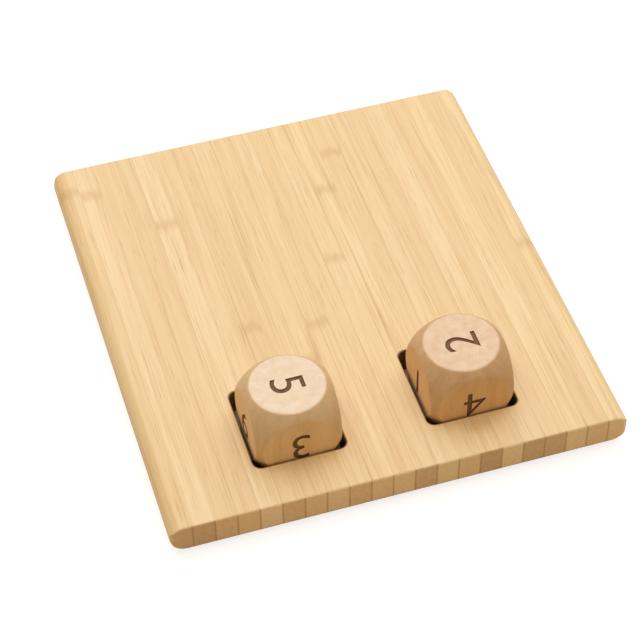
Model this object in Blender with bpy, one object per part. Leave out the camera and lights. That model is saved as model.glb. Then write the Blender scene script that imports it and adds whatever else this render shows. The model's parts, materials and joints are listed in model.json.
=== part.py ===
"""A bamboo wireless charging pad with two wooden dice that stand in pockets in its top.

Metres, +Z up. The origin is on the table, below the middle of the board. +X is to the user's
right and +Y runs to the back edge, where the power inlet is.
"""

import math

import bmesh
import bpy
import numpy as np
from mathutils import Matrix, Vector

# Board
BOARD_WIDTH = 0.165
BOARD_DEPTH = 0.180
BOARD_THICKNESS = 0.0115
BOARD_CORNER_RADIUS = 0.0035
BOARD_END_FILLET = 0.0008
SIDE_TOP_RADIUS = 0.0055

# Dice and their pockets
DIE_SIZE = 0.031
DIE_TURNED_RADIUS = 0.0203
DIE_SPACING = 0.0626
DIE_FRONT_GAP = 0.0005
POCKET_SETBACK = 0.017
POCKET_CLEARANCE = 0.0011
POCKET_FINGER_GAP = 0.004
POCKET_FLOOR = 0.001
POCKET_CORNER_RADIUS = 0.003

# Feet
FOOT_DIAMETER = 0.012
FOOT_STANDOFF = 0.0015
FOOT_LET_IN = 0.001
FOOT_INSET = 0.016
FOOT_EDGE_FILLET = 0.0004

# Electronics cavity and the cover that closes it
CHARGING_WALL = 0.002
CAVITY_CLEARANCE = 0.001
CAVITY_CORNER_RADIUS = 0.004
REAR_WALL = 0.011
COVER_THICKNESS = 0.002
COVER_LEDGE = 0.006
COVER_EDGE_FILLET = 0.0004
BOSS_DIAMETER = 0.005
BOSS_HEIGHT = 0.0008

# Screws
COVER_SCREW_DIAMETER = 0.0024
COVER_SCREW_LENGTH = 0.008
COVER_SCREW_HEAD_DIAMETER = 0.0044
COVER_SCREW_HEAD_HEIGHT = 0.0013
COVER_SCREW_INSET = 0.006
BOARD_SCREW_DIAMETER = 0.0018
BOARD_SCREW_LENGTH = 0.003
BOARD_SCREW_HEAD_DIAMETER = 0.0036
BOARD_SCREW_HEAD_HEIGHT = 0.0012
CROSS_RECESS_WIDTH = 0.0005
CROSS_RECESS_DEPTH = 0.0007
CROSS_RECESS_SHARE = 0.6
HOLE_RUNOUT = 0.0004

# Coil stack
COIL_INNER_RADIUS = 0.01025
COIL_TURNS = 10
COIL_PITCH = 0.001175
WIRE_DIAMETER = 0.00075
FERRITE_MARGIN = 0.0035
FERRITE_THICKNESS = 0.0016
FERRITE_CORNER_RADIUS = 0.002
TAPE_THICKNESS = 0.0003
FOAM_INSET = 0.002
SLOT_CLEARANCE = 0.0008
LEAD_RAMP_TURN = math.radians(25)
LEAD_RAMP_RUN = 0.0045
THERMISTOR_BEAD_DIAMETER = 0.0014
THERMISTOR_BEAD_LENGTH = 0.003
THERMISTOR_LEAD_DIAMETER = 0.0007

# Circuit board and what stands on it
PCB_THICKNESS = 0.0012
PCB_MARGIN = 0.0015
PCB_TO_COIL = 0.0015
PAD_ROW = 0.002
ROW_GAP = 0.0022
COMPONENT_GAP = 0.0012
SOLDER_GAP = 0.0001
COMPONENT_EDGE = 0.00015
CONTROLLER_SIZE = 0.005
CONTROLLER_HEIGHT = 0.0009
NEGOTIATOR_SIZE = 0.003
NEGOTIATOR_HEIGHT = 0.0008
REGULATOR_WIDTH = 0.0029
REGULATOR_LENGTH = 0.0016
REGULATOR_HEIGHT = 0.0011
INDUCTOR_SIZE = 0.0042
INDUCTOR_HEIGHT = 0.002
TRANSISTOR_SIZE = 0.0033
TRANSISTOR_HEIGHT = 0.0009
CAPACITOR_WIDTH = 0.0016
CAPACITOR_LENGTH = 0.0032
CAPACITOR_HEIGHT = 0.0016
RESISTOR_WIDTH = 0.0016
RESISTOR_LENGTH = 0.0032
RESISTOR_HEIGHT = 0.0006
DIODE_WIDTH = 0.0026
DIODE_LENGTH = 0.0043
DIODE_HEIGHT = 0.0021

# Power inlet, status light and the bezel around them
INLET_WIDTH = 0.00894
INLET_HEIGHT = 0.00316
INLET_LENGTH = 0.00735
INLET_WALL = 0.0003
INLET_CORNER_RADIUS = 0.0014
INLET_MOUTH_RECESS = 0.0003
TONGUE_WIDTH = 0.0067
TONGUE_THICKNESS = 0.0007
TONGUE_LENGTH = 0.0045
TONGUE_BASE_LENGTH = 0.0018
LED_WIDTH = 0.0016
LED_LENGTH = 0.0008
LED_HEIGHT = 0.0008
LED_TO_INLET = 0.0015
PIPE_DIAMETER = 0.002
PIPE_FLANGE_DIAMETER = 0.003
PIPE_FLANGE_THICKNESS = 0.0006
BEZEL_PLATE = 0.002
BEZEL_MARGIN = 0.0012
BEZEL_CORNER_RADIUS = 0.0008

# Gaps between pieces that touch on the real object
SEAT_GAP = 0.0002
SIDE_GAP = 0.0003

# How finely round shapes are faceted, and how far a cutter runs past what it cuts
CORNER_SEGMENTS = 6
FILLET_SEGMENTS = 3
ROUND_SEGMENTS = 24
SCREW_SEGMENTS = 16
DIE_SPHERE_SEGMENTS = 48
COIL_POINTS_PER_TURN = 24
LEAD_STEPS = 5
OVERCUT = 0.001
SMOOTH_ANGLE = math.radians(35)
FLAT_END = 0.999
MERGE_DISTANCE = 1e-7

# Heights, worked out from the table up
BOARD_BOTTOM = FOOT_STANDOFF
BOARD_TOP = BOARD_BOTTOM + BOARD_THICKNESS
COVER_TOP = BOARD_BOTTOM + COVER_THICKNESS
BOSS_TOP = COVER_TOP + BOSS_HEIGHT
PCB_BOTTOM = BOSS_TOP + SEAT_GAP
PCB_TOP = PCB_BOTTOM + PCB_THICKNESS
COMPONENT_BOTTOM = PCB_TOP + SOLDER_GAP
INLET_AXIS_HEIGHT = COMPONENT_BOTTOM + INLET_HEIGHT / 2
BEZEL_TOP = COMPONENT_BOTTOM + INLET_HEIGHT + SIDE_GAP + BEZEL_MARGIN
SIDE_BOTTOM_RADIUS = BOARD_THICKNESS - SIDE_TOP_RADIUS
POCKET_FLOOR_HEIGHT = BOARD_BOTTOM + POCKET_FLOOR

# Heights of the coil stack, worked out from the wood above it down
CAVITY_CEILING = BOARD_TOP - CHARGING_WALL
TAPE_BOTTOM = CAVITY_CEILING - SEAT_GAP - TAPE_THICKNESS
COIL_HEIGHT = TAPE_BOTTOM - SEAT_GAP - WIRE_DIAMETER / 2
FERRITE_TOP = COIL_HEIGHT - WIRE_DIAMETER / 2 - SEAT_GAP
FERRITE_BOTTOM = FERRITE_TOP - FERRITE_THICKNESS
SLOT_LEAD_HEIGHT = FERRITE_BOTTOM + FERRITE_THICKNESS / 2
FOAM_BOTTOM = COVER_TOP + SEAT_GAP
FOAM_TOP = FERRITE_BOTTOM - SEAT_GAP

# The circuit board's rows, from the back edge of the board to the front
INPUT_ROW = max(NEGOTIATOR_SIZE, CAPACITOR_LENGTH, DIODE_LENGTH)
CONTROL_ROW = max(CONTROLLER_SIZE, INDUCTOR_SIZE, REGULATOR_LENGTH)
BRIDGE_ROW = max(TRANSISTOR_SIZE, CAPACITOR_LENGTH, RESISTOR_LENGTH)
BOARD_BACK = BOARD_DEPTH / 2
BOARD_FRONT = -BOARD_DEPTH / 2
CAVITY_BACK = BOARD_BACK - REAR_WALL
PCB_BACK = CAVITY_BACK - CAVITY_CLEARANCE
INPUT_ROW_Y = PCB_BACK - PCB_MARGIN - INPUT_ROW / 2
CONTROL_ROW_Y = INPUT_ROW_Y - INPUT_ROW / 2 - ROW_GAP - CONTROL_ROW / 2
BRIDGE_ROW_Y = CONTROL_ROW_Y - CONTROL_ROW / 2 - ROW_GAP - BRIDGE_ROW / 2
PAD_ROW_Y = BRIDGE_ROW_Y - BRIDGE_ROW / 2 - ROW_GAP - PAD_ROW / 2
PCB_FRONT = PAD_ROW_Y - PAD_ROW / 2 - PCB_MARGIN

# Each row's parts from left to right: name, finish, width, length, height
INPUT_PARTS = [
    ("surge_diode", "chip_plastic", DIODE_WIDTH, DIODE_LENGTH, DIODE_HEIGHT),
    ("input_capacitor_left", "ceramic", CAPACITOR_WIDTH, CAPACITOR_LENGTH, CAPACITOR_HEIGHT),
    ("input_capacitor_right", "ceramic", CAPACITOR_WIDTH, CAPACITOR_LENGTH, CAPACITOR_HEIGHT),
    ("power_negotiator", "chip_plastic", NEGOTIATOR_SIZE, NEGOTIATOR_SIZE, NEGOTIATOR_HEIGHT),
]
CONTROL_PARTS = [
    ("buck_inductor", "ferrite", INDUCTOR_SIZE, INDUCTOR_SIZE, INDUCTOR_HEIGHT),
    ("charge_controller", "chip_plastic", CONTROLLER_SIZE, CONTROLLER_SIZE, CONTROLLER_HEIGHT),
    ("regulator", "chip_plastic", REGULATOR_WIDTH, REGULATOR_LENGTH, REGULATOR_HEIGHT),
]
BRIDGE_PARTS = [
    ("resonant_capacitor_1", "ceramic", CAPACITOR_WIDTH, CAPACITOR_LENGTH, CAPACITOR_HEIGHT),
    ("resonant_capacitor_2", "ceramic", CAPACITOR_WIDTH, CAPACITOR_LENGTH, CAPACITOR_HEIGHT),
    ("bridge_transistor_left", "chip_plastic", TRANSISTOR_SIZE, TRANSISTOR_SIZE, TRANSISTOR_HEIGHT),
    ("sense_resistor", "chip_plastic", RESISTOR_WIDTH, RESISTOR_LENGTH, RESISTOR_HEIGHT),
    ("bridge_transistor_right", "chip_plastic", TRANSISTOR_SIZE, TRANSISTOR_SIZE, TRANSISTOR_HEIGHT),
    ("resonant_capacitor_3", "ceramic", CAPACITOR_WIDTH, CAPACITOR_LENGTH, CAPACITOR_HEIGHT),
    ("resonant_capacitor_4", "ceramic", CAPACITOR_WIDTH, CAPACITOR_LENGTH, CAPACITOR_HEIGHT),
]


def row_width(parts):
    """Width of a row of parts with the gaps between them."""
    return sum(part[2] for part in parts) + COMPONENT_GAP * (len(parts) - 1)


# Plan sizes and places of the coil, the circuit board, the cavity and the cover
COIL_OUTER_RADIUS = COIL_INNER_RADIUS + COIL_PITCH * (COIL_TURNS + 0.5)
FERRITE_SIZE = 2 * (COIL_OUTER_RADIUS + WIRE_DIAMETER / 2 + FERRITE_MARGIN)
WIDEST_ROW = max(row_width(INPUT_PARTS), row_width(CONTROL_PARTS), row_width(BRIDGE_PARTS))
BOSS_X = WIDEST_ROW / 2 + PCB_MARGIN + BOSS_DIAMETER / 2
PCB_WIDTH = 2 * (BOSS_X + BOSS_DIAMETER / 2 + PCB_MARGIN)
FERRITE_BACK = PCB_FRONT - PCB_TO_COIL
COIL_Y = FERRITE_BACK - FERRITE_SIZE / 2
CAVITY_WIDTH = max(FERRITE_SIZE, PCB_WIDTH) + 2 * CAVITY_CLEARANCE
CAVITY_FRONT = COIL_Y - FERRITE_SIZE / 2 - CAVITY_CLEARANCE
CAVITY_MIDDLE = (CAVITY_FRONT + CAVITY_BACK) / 2
CAVITY_DEPTH = CAVITY_BACK - CAVITY_FRONT
REBATE_WIDTH = CAVITY_WIDTH + 2 * COVER_LEDGE
REBATE_DEPTH = CAVITY_DEPTH + 2 * COVER_LEDGE
REBATE_CORNER_RADIUS = CAVITY_CORNER_RADIUS + COVER_LEDGE / 2
REBATE_BACK = CAVITY_BACK + COVER_LEDGE
COVER_SCREW_X = CAVITY_WIDTH / 2 + COVER_LEDGE / 2
COVER_SCREW_YS = (CAVITY_FRONT + COVER_SCREW_INSET, CAVITY_BACK - COVER_SCREW_INSET)

# Plan sizes and places of the inlet, the status light and the bezel
INLET_MOUTH = BOARD_BACK - INLET_MOUTH_RECESS
LED_X = INLET_WIDTH / 2 + LED_TO_INLET + PIPE_FLANGE_DIAMETER / 2
NOSE_WIDTH = 2 * (LED_X + PIPE_FLANGE_DIAMETER / 2 + SIDE_GAP)
NOSE_END = BOARD_BACK - BEZEL_PLATE - SIDE_GAP
BEZEL_WIDTH = NOSE_WIDTH + 2 * SIDE_GAP
NOTCH_WIDTH = BEZEL_WIDTH + 2 * SIDE_GAP

# Places of the dice and the feet
POCKET_WIDTH = DIE_SIZE + 2 * POCKET_CLEARANCE
POCKET_DEPTH = DIE_FRONT_GAP + DIE_SIZE + POCKET_FINGER_GAP
POCKET_FRONT = BOARD_FRONT + POCKET_SETBACK
POCKET_Y = POCKET_FRONT + POCKET_DEPTH / 2
DIE_Y = POCKET_FRONT + DIE_FRONT_GAP + DIE_SIZE / 2
DIE_XS = {"left_die": -DIE_SPACING / 2, "right_die": DIE_SPACING / 2}
FOOT_X = BOARD_WIDTH / 2 - FOOT_INSET
FOOT_Y = BOARD_DEPTH / 2 - FOOT_INSET
FOOT_PLACES = {
    "foot_front_left": (-FOOT_X, -FOOT_Y),
    "foot_front_right": (FOOT_X, -FOOT_Y),
    "foot_back_left": (-FOOT_X, FOOT_Y),
    "foot_back_right": (FOOT_X, FOOT_Y),
}

# Colour, roughness and metallic value of each finish
FINISHES = {
    "bamboo": ((0.80, 0.57, 0.30), 0.48, 0.0),
    "beech": ((0.76, 0.52, 0.33), 0.55, 0.0),
    "cover_plastic": ((0.025, 0.025, 0.027), 0.55, 0.0),
    "silicone": ((0.06, 0.06, 0.065), 0.8, 0.0),
    "steel": ((0.62, 0.62, 0.64), 0.32, 1.0),
    "inlet_plastic": ((0.02, 0.02, 0.022), 0.45, 0.0),
    "clear_plastic": ((0.85, 0.88, 0.90), 0.15, 0.0),
    "circuit_board": ((0.02, 0.16, 0.07), 0.35, 0.0),
    "chip_plastic": ((0.03, 0.03, 0.033), 0.5, 0.0),
    "ceramic": ((0.55, 0.43, 0.28), 0.5, 0.0),
    "ferrite": ((0.09, 0.09, 0.095), 0.6, 0.0),
    "copper": ((0.72, 0.36, 0.16), 0.35, 1.0),
    "tape": ((0.75, 0.66, 0.35), 0.6, 0.0),
    "foam": ((0.14, 0.14, 0.15), 0.95, 0.0),
    "thermistor_coat": ((0.35, 0.09, 0.04), 0.5, 0.0),
}

UPRIGHT = (0.0, 0.0, 0.0)
FACING_BACK = (math.pi / 2, 0.0, 0.0)


def clear_scene():
    for obj in list(bpy.data.objects):
        bpy.data.objects.remove(obj, do_unlink=True)


def finish(name):
    """The Principled material of a finish, made once."""
    material = bpy.data.materials.get(name)
    if material:
        return material
    colour, roughness, metallic = FINISHES[name]
    material = bpy.data.materials.new(name)
    material.use_nodes = True
    shader = material.node_tree.nodes["Principled BSDF"]
    shader.inputs["Base Color"].default_value = (*colour, 1.0)
    shader.inputs["Roughness"].default_value = roughness
    shader.inputs["Metallic"].default_value = metallic
    material.diffuse_color = (*colour, 1.0)
    return material


def add_empty(name, place):
    empty = bpy.data.objects.new(name, None)
    bpy.context.scene.collection.objects.link(empty)
    empty.location = place
    return empty


def add_object(name, shape, place, turn, parent):
    mesh = bpy.data.meshes.new(name)
    bmesh.ops.recalc_face_normals(shape, faces=shape.faces[:])
    shape.to_mesh(mesh)
    shape.free()
    mesh.set_sharp_from_angle(angle=SMOOTH_ANGLE)
    obj = bpy.data.objects.new(name, mesh)
    bpy.context.scene.collection.objects.link(obj)
    obj.location = place
    obj.rotation_euler = turn
    obj.parent = parent
    return obj


def add_piece(name, shape, finish_name, place, parent, turn=UPRIGHT):
    """One named piece of the object, from a bmesh in its own frame."""
    piece = add_object(name, shape, place, turn, parent)
    piece.data.materials.append(finish(finish_name))
    return piece


def combine(piece, operation, shape, place, turn=UPRIGHT):
    """A Boolean of the piece with a helper shape, which is not part of the object."""
    helper = add_object(f"{piece.name}_helper_{len(piece.modifiers)}", shape, place, turn, piece.parent)
    helper.hide_render = True
    helper.display_type = "WIRE"
    modifier = piece.modifiers.new(helper.name, "BOOLEAN")
    modifier.operation = operation
    modifier.object = helper


def block(width, depth, height):
    """A box that stands on its origin."""
    shape = bmesh.new()
    bmesh.ops.create_cube(shape, size=1.0)
    bmesh.ops.scale(shape, vec=(width, depth, height), verts=shape.verts[:])
    bmesh.ops.translate(shape, vec=(0, 0, height / 2), verts=shape.verts[:])
    return shape


def bevel(shape, edges, width, segments):
    """Round the edges. The new faces are shaded smooth and the flat ones beside them stay flat."""
    rounded = bmesh.ops.bevel(
        shape, geom=edges, offset=width, offset_type="OFFSET", segments=segments,
        profile=0.5, affect="EDGES", material=-1, clamp_overlap=True,
    )
    for face in rounded["faces"]:
        face.smooth = True


def smooth_sides(shape):
    """Shade a shape that is round about Z smooth, apart from its flat ends."""
    shape.normal_update()
    for face in shape.faces:
        face.smooth = abs(face.normal.z) < FLAT_END


def rounded_block(width, depth, height, corner_radius, edge_fillet=0.0, edge_segments=FILLET_SEGMENTS):
    """A box that stands on its origin, with round upright corners and, if asked, filleted rims."""
    shape = block(width, depth, height)
    upright = [e for e in shape.edges if abs(e.verts[0].co.z - e.verts[1].co.z) > height / 2]
    bevel(shape, upright, corner_radius, CORNER_SEGMENTS)
    if edge_fillet:
        rims = [e for e in shape.edges if abs(e.verts[0].co.z - e.verts[1].co.z) < height / 2]
        bevel(shape, rims, edge_fillet, edge_segments)
    return shape


def cylinder(diameter, height, segments=ROUND_SEGMENTS):
    """An upright cylinder that stands on its origin."""
    shape = bmesh.new()
    bmesh.ops.create_cone(
        shape, cap_ends=True, segments=segments, radius1=diameter / 2, radius2=diameter / 2, depth=height
    )
    bmesh.ops.translate(shape, vec=(0, 0, height / 2), verts=shape.verts[:])
    smooth_sides(shape)
    return shape


def turned(profile, segments):
    """A solid of revolution about Z, from (radius, height) points that start and end on the axis."""
    shape = bmesh.new()
    points = [shape.verts.new((radius, 0, height)) for radius, height in profile]
    edges = [shape.edges.new(pair) for pair in zip(points, points[1:])]
    bmesh.ops.spin(
        shape, geom=points + edges, cent=(0, 0, 0), axis=(0, 0, 1),
        angle=2 * math.pi, steps=segments, use_merge=True, use_duplicate=False,
    )
    bmesh.ops.remove_doubles(shape, verts=shape.verts[:], dist=MERGE_DISTANCE)
    smooth_sides(shape)
    return shape


def extruded(outline, height):
    """A plate from a plan outline, standing on its origin."""
    shape = bmesh.new()
    face = shape.faces.new([shape.verts.new((x, y, 0)) for x, y in outline])
    raised = bmesh.ops.extrude_face_region(shape, geom=[face])["geom"]
    top = [v for v in raised if isinstance(v, bmesh.types.BMVert)]
    bmesh.ops.translate(shape, vec=(0, 0, height), verts=top)
    return shape


def quarter_turn(x, y, radius, start):
    """Points of a quarter circle in plan, from an angle on."""
    angles = [start + math.pi / 2 * step / CORNER_SEGMENTS for step in range(CORNER_SEGMENTS + 1)]
    return [(x + radius * math.cos(angle), y + radius * math.sin(angle)) for angle in angles]


def smooth_route(points):
    """Closely spaced points along a smooth curve through the given ones, from the first to the last."""
    route = []
    padded = [2 * points[0] - points[1], *points, 2 * points[-1] - points[-2]]
    for before, start, end, after in zip(padded, padded[1:], padded[2:], padded[3:]):
        for step in range(LEAD_STEPS):
            t = step / LEAD_STEPS
            route.append(
                0.5 * (
                    2 * start
                    + (end - before) * t
                    + (2 * before - 5 * start + 4 * end - after) * t**2
                    + (3 * start - before - 3 * end + after) * t**3
                )
            )
    return route + [points[-1]]


def add_tube(name, points, radii, diameter, finish_name, parent):
    """A capped tube along points in the object's frame. Its radii are shares of half the diameter."""
    curve = bpy.data.curves.new(name, "CURVE")
    curve.dimensions = "3D"
    curve.bevel_depth = diameter / 2
    curve.bevel_resolution = 1
    curve.use_fill_caps = True
    spline = curve.splines.new("POLY")
    spline.points.add(len(points) - 1)
    for knot, point, radius in zip(spline.points, points, radii):
        knot.co = (*point, 1.0)
        knot.radius = radius
    tube = bpy.data.objects.new(name, curve)
    bpy.context.scene.collection.objects.link(tube)
    tube.parent = parent
    curve.materials.append(finish(finish_name))
    return tube


def least_self_gap(points, diameter):
    """The least clear gap between stretches of one tube that are not next to each other."""
    places = np.array([tuple(point) for point in points])
    along = np.concatenate([[0], np.cumsum(np.linalg.norm(np.diff(places, axis=0), axis=1))])
    apart = np.linalg.norm(places[:, None] - places[None], axis=2)
    neighbours = np.abs(along[:, None] - along[None]) < 4 * diameter
    return apart[~neighbours].min() - diameter


# Board

def slab():
    """The board before it is cut: rounded along both sides and flat at both ends."""
    half, low, high = BOARD_WIDTH / 2, SIDE_BOTTOM_RADIUS, SIDE_TOP_RADIUS
    side = quarter_turn(half - low, low, low, -math.pi / 2) + quarter_turn(half - high, low, high, 0)[1:]
    shape = extruded(side + [(-x, y) for x, y in reversed(side)], BOARD_DEPTH)
    for face in shape.faces:
        face.smooth = len(face.verts) == 4
    ends = [e for e in shape.edges if e.verts[0].co.z == e.verts[1].co.z]
    bevel(shape, ends, BOARD_END_FILLET, FILLET_SEGMENTS)
    along_depth = Matrix(((1, 0, 0, 0), (0, 0, -1, BOARD_BACK), (0, 1, 0, 0), (0, 0, 0, 1)))
    bmesh.ops.transform(shape, matrix=along_depth, verts=shape.verts[:])
    return shape


def make_board(pad):
    board = add_piece("bamboo_board", slab(), "bamboo", (0, 0, BOARD_BOTTOM), pad)
    below = BOARD_BOTTOM - OVERCUT
    plan = rounded_block(
        BOARD_WIDTH + 2 * SEAT_GAP, BOARD_DEPTH + 2 * SEAT_GAP, BOARD_THICKNESS + 2 * OVERCUT,
        BOARD_CORNER_RADIUS,
    )
    combine(board, "INTERSECT", plan, (0, 0, below))
    for x, y in FOOT_PLACES.values():
        recess = cylinder(FOOT_DIAMETER + 2 * SIDE_GAP, FOOT_LET_IN + SEAT_GAP + OVERCUT)
        combine(board, "DIFFERENCE", recess, (x, y, below))
    pocket_height = BOARD_TOP - POCKET_FLOOR_HEIGHT + OVERCUT
    for x in DIE_XS.values():
        pocket = rounded_block(POCKET_WIDTH, POCKET_DEPTH, pocket_height, POCKET_CORNER_RADIUS)
        combine(board, "DIFFERENCE", pocket, (x, POCKET_Y, POCKET_FLOOR_HEIGHT))
    cavity = rounded_block(CAVITY_WIDTH, CAVITY_DEPTH, CAVITY_CEILING - below, CAVITY_CORNER_RADIUS)
    combine(board, "DIFFERENCE", cavity, (0, CAVITY_MIDDLE, below))
    rebate_height = COVER_TOP + SEAT_GAP - below
    rebate = rounded_block(REBATE_WIDTH, REBATE_DEPTH, rebate_height, REBATE_CORNER_RADIUS)
    combine(board, "DIFFERENCE", rebate, (0, CAVITY_MIDDLE, below))
    notch_depth = BOARD_BACK + OVERCUT - CAVITY_MIDDLE
    notch = block(NOTCH_WIDTH, notch_depth, BEZEL_TOP + SEAT_GAP - below)
    combine(board, "DIFFERENCE", notch, (0, CAVITY_MIDDLE + notch_depth / 2, below))
    pilot_top = BOARD_BOTTOM + COVER_SCREW_LENGTH + HOLE_RUNOUT
    for x, y in cover_screw_places().values():
        pilot = cylinder(COVER_SCREW_DIAMETER + SIDE_GAP, pilot_top - below, SCREW_SEGMENTS)
        combine(board, "DIFFERENCE", pilot, (x, y, below))


# Dice

def make_die(name, x, pad):
    """A cube whose edges and corners are turned off by a sphere, so that each face is a round flat."""
    die = add_piece(
        name, block(DIE_SIZE, DIE_SIZE, DIE_SIZE), "beech", (x, DIE_Y, POCKET_FLOOR_HEIGHT + SEAT_GAP), pad
    )
    ball = bmesh.new()
    bmesh.ops.create_uvsphere(
        ball, u_segments=DIE_SPHERE_SEGMENTS, v_segments=DIE_SPHERE_SEGMENTS // 2,
        radius=DIE_TURNED_RADIUS,
    )
    for face in ball.faces:
        face.smooth = True
    combine(die, "INTERSECT", ball, die.location + Vector((0, 0, DIE_SIZE / 2)))


# Feet

def make_foot(name, x, y, pad):
    height = FOOT_STANDOFF + FOOT_LET_IN
    radius = FOOT_DIAMETER / 2
    fillet = FOOT_EDGE_FILLET
    profile = [(0, height), (radius, height), (radius, fillet), (radius - fillet, 0), (0, 0)]
    add_piece(name, turned(profile, ROUND_SEGMENTS), "silicone", (x, y, 0), pad)


# Screws

def cut_cross_recess(screw, head_diameter, face_height):
    """The cross recess in the face of a screw's head."""
    arm = head_diameter * CROSS_RECESS_SHARE
    place = (screw.location.x, screw.location.y, face_height - CROSS_RECESS_DEPTH)
    for width, depth in ((arm, CROSS_RECESS_WIDTH), (CROSS_RECESS_WIDTH, arm)):
        combine(screw, "DIFFERENCE", block(width, depth, 2 * CROSS_RECESS_DEPTH), place)


def cover_screw_places():
    front, back = COVER_SCREW_YS
    return {
        "cover_screw_front_left": (-COVER_SCREW_X, front),
        "cover_screw_front_right": (COVER_SCREW_X, front),
        "cover_screw_back_left": (-COVER_SCREW_X, back),
        "cover_screw_back_right": (COVER_SCREW_X, back),
    }


def make_cover_screw(name, x, y, pad):
    """A countersunk wood screw that points up, with its head flush with the cover."""
    shank, head = COVER_SCREW_DIAMETER / 2, COVER_SCREW_HEAD_DIAMETER / 2
    profile = [
        (0, COVER_SCREW_LENGTH), (shank, COVER_SCREW_LENGTH - shank),
        (shank, COVER_SCREW_HEAD_HEIGHT), (head, 0), (0, 0),
    ]
    screw = add_piece(name, turned(profile, SCREW_SEGMENTS), "steel", (x, y, BOARD_BOTTOM), pad)
    cut_cross_recess(screw, COVER_SCREW_HEAD_DIAMETER, BOARD_BOTTOM)


def board_screw_places():
    y = (PCB_FRONT + PCB_BACK) / 2
    return {"board_screw_left": (-BOSS_X, y), "board_screw_right": (BOSS_X, y)}


def make_board_screw(name, x, y, pad):
    """A pan-head screw that holds the circuit board down on its boss."""
    shank, head = BOARD_SCREW_DIAMETER / 2, BOARD_SCREW_HEAD_DIAMETER / 2
    profile = [
        (0, BOARD_SCREW_HEAD_HEIGHT), (head, BOARD_SCREW_HEAD_HEIGHT), (head, 0),
        (shank, 0), (shank, shank - BOARD_SCREW_LENGTH), (0, -BOARD_SCREW_LENGTH),
    ]
    seat = PCB_TOP + SEAT_GAP
    screw = add_piece(name, turned(profile, SCREW_SEGMENTS), "steel", (x, y, seat), pad)
    cut_cross_recess(screw, BOARD_SCREW_HEAD_DIAMETER, seat + BOARD_SCREW_HEAD_HEIGHT)


# Cover

def make_cover(pad):
    cover = add_piece(
        "bottom_cover",
        rounded_block(
            REBATE_WIDTH - 2 * SIDE_GAP, REBATE_DEPTH - 2 * SIDE_GAP, COVER_THICKNESS,
            REBATE_CORNER_RADIUS - SIDE_GAP, COVER_EDGE_FILLET, 1,
        ),
        "cover_plastic", (0, CAVITY_MIDDLE, BOARD_BOTTOM), pad,
    )
    reach = BOARD_SCREW_LENGTH - PCB_THICKNESS - SEAT_GAP + HOLE_RUNOUT
    for x, y in board_screw_places().values():
        foot = COVER_THICKNESS / 2
        combine(cover, "UNION", cylinder(BOSS_DIAMETER, BOSS_HEIGHT + foot), (x, y, COVER_TOP - foot))
        hole = cylinder(BOARD_SCREW_DIAMETER + SIDE_GAP, reach + OVERCUT, SCREW_SEGMENTS)
        combine(cover, "DIFFERENCE", hole, (x, y, BOSS_TOP - reach))
    for x, y in cover_screw_places().values():
        combine(cover, "DIFFERENCE", countersink(), (x, y, BOARD_BOTTOM))


def countersink():
    """The clearance hole of a cover screw, with its countersink, through the cover."""
    shank = (COVER_SCREW_DIAMETER + SIDE_GAP) / 2
    mouth = (COVER_SCREW_HEAD_DIAMETER + SIDE_GAP) / 2
    top = COVER_THICKNESS + OVERCUT
    profile = [
        (0, top), (shank, top), (shank, COVER_SCREW_HEAD_HEIGHT + SEAT_GAP),
        (mouth, SEAT_GAP), (mouth, -OVERCUT), (0, -OVERCUT),
    ]
    return turned(profile, SCREW_SEGMENTS)


# Circuit board

def make_circuit_board(pad):
    half, nose = PCB_WIDTH / 2, NOSE_WIDTH / 2
    outline = [
        (-half, PCB_FRONT), (half, PCB_FRONT), (half, PCB_BACK), (nose, PCB_BACK),
        (nose, NOSE_END), (-nose, NOSE_END), (-nose, PCB_BACK), (-half, PCB_BACK),
    ]
    plate = add_piece(
        "circuit_board", extruded(outline, PCB_THICKNESS), "circuit_board", (0, 0, PCB_BOTTOM), pad
    )
    for x, y in board_screw_places().values():
        hole = cylinder(BOARD_SCREW_DIAMETER + SIDE_GAP, PCB_THICKNESS + 2 * OVERCUT, SCREW_SEGMENTS)
        combine(plate, "DIFFERENCE", hole, (x, y, PCB_BOTTOM - OVERCUT))


def make_row(parts, y, pad):
    """A row of parts on the circuit board, side by side about its middle."""
    x = -row_width(parts) / 2
    for name, finish_name, width, length, height in parts:
        body = block(width, length, height)
        top = [e for e in body.edges if min(v.co.z for v in e.verts) > height / 2]
        bevel(body, top, COMPONENT_EDGE, 1)
        add_piece(name, body, finish_name, (x + width / 2, y, COMPONENT_BOTTOM), pad)
        x += width + COMPONENT_GAP


# Power inlet and status light

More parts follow.
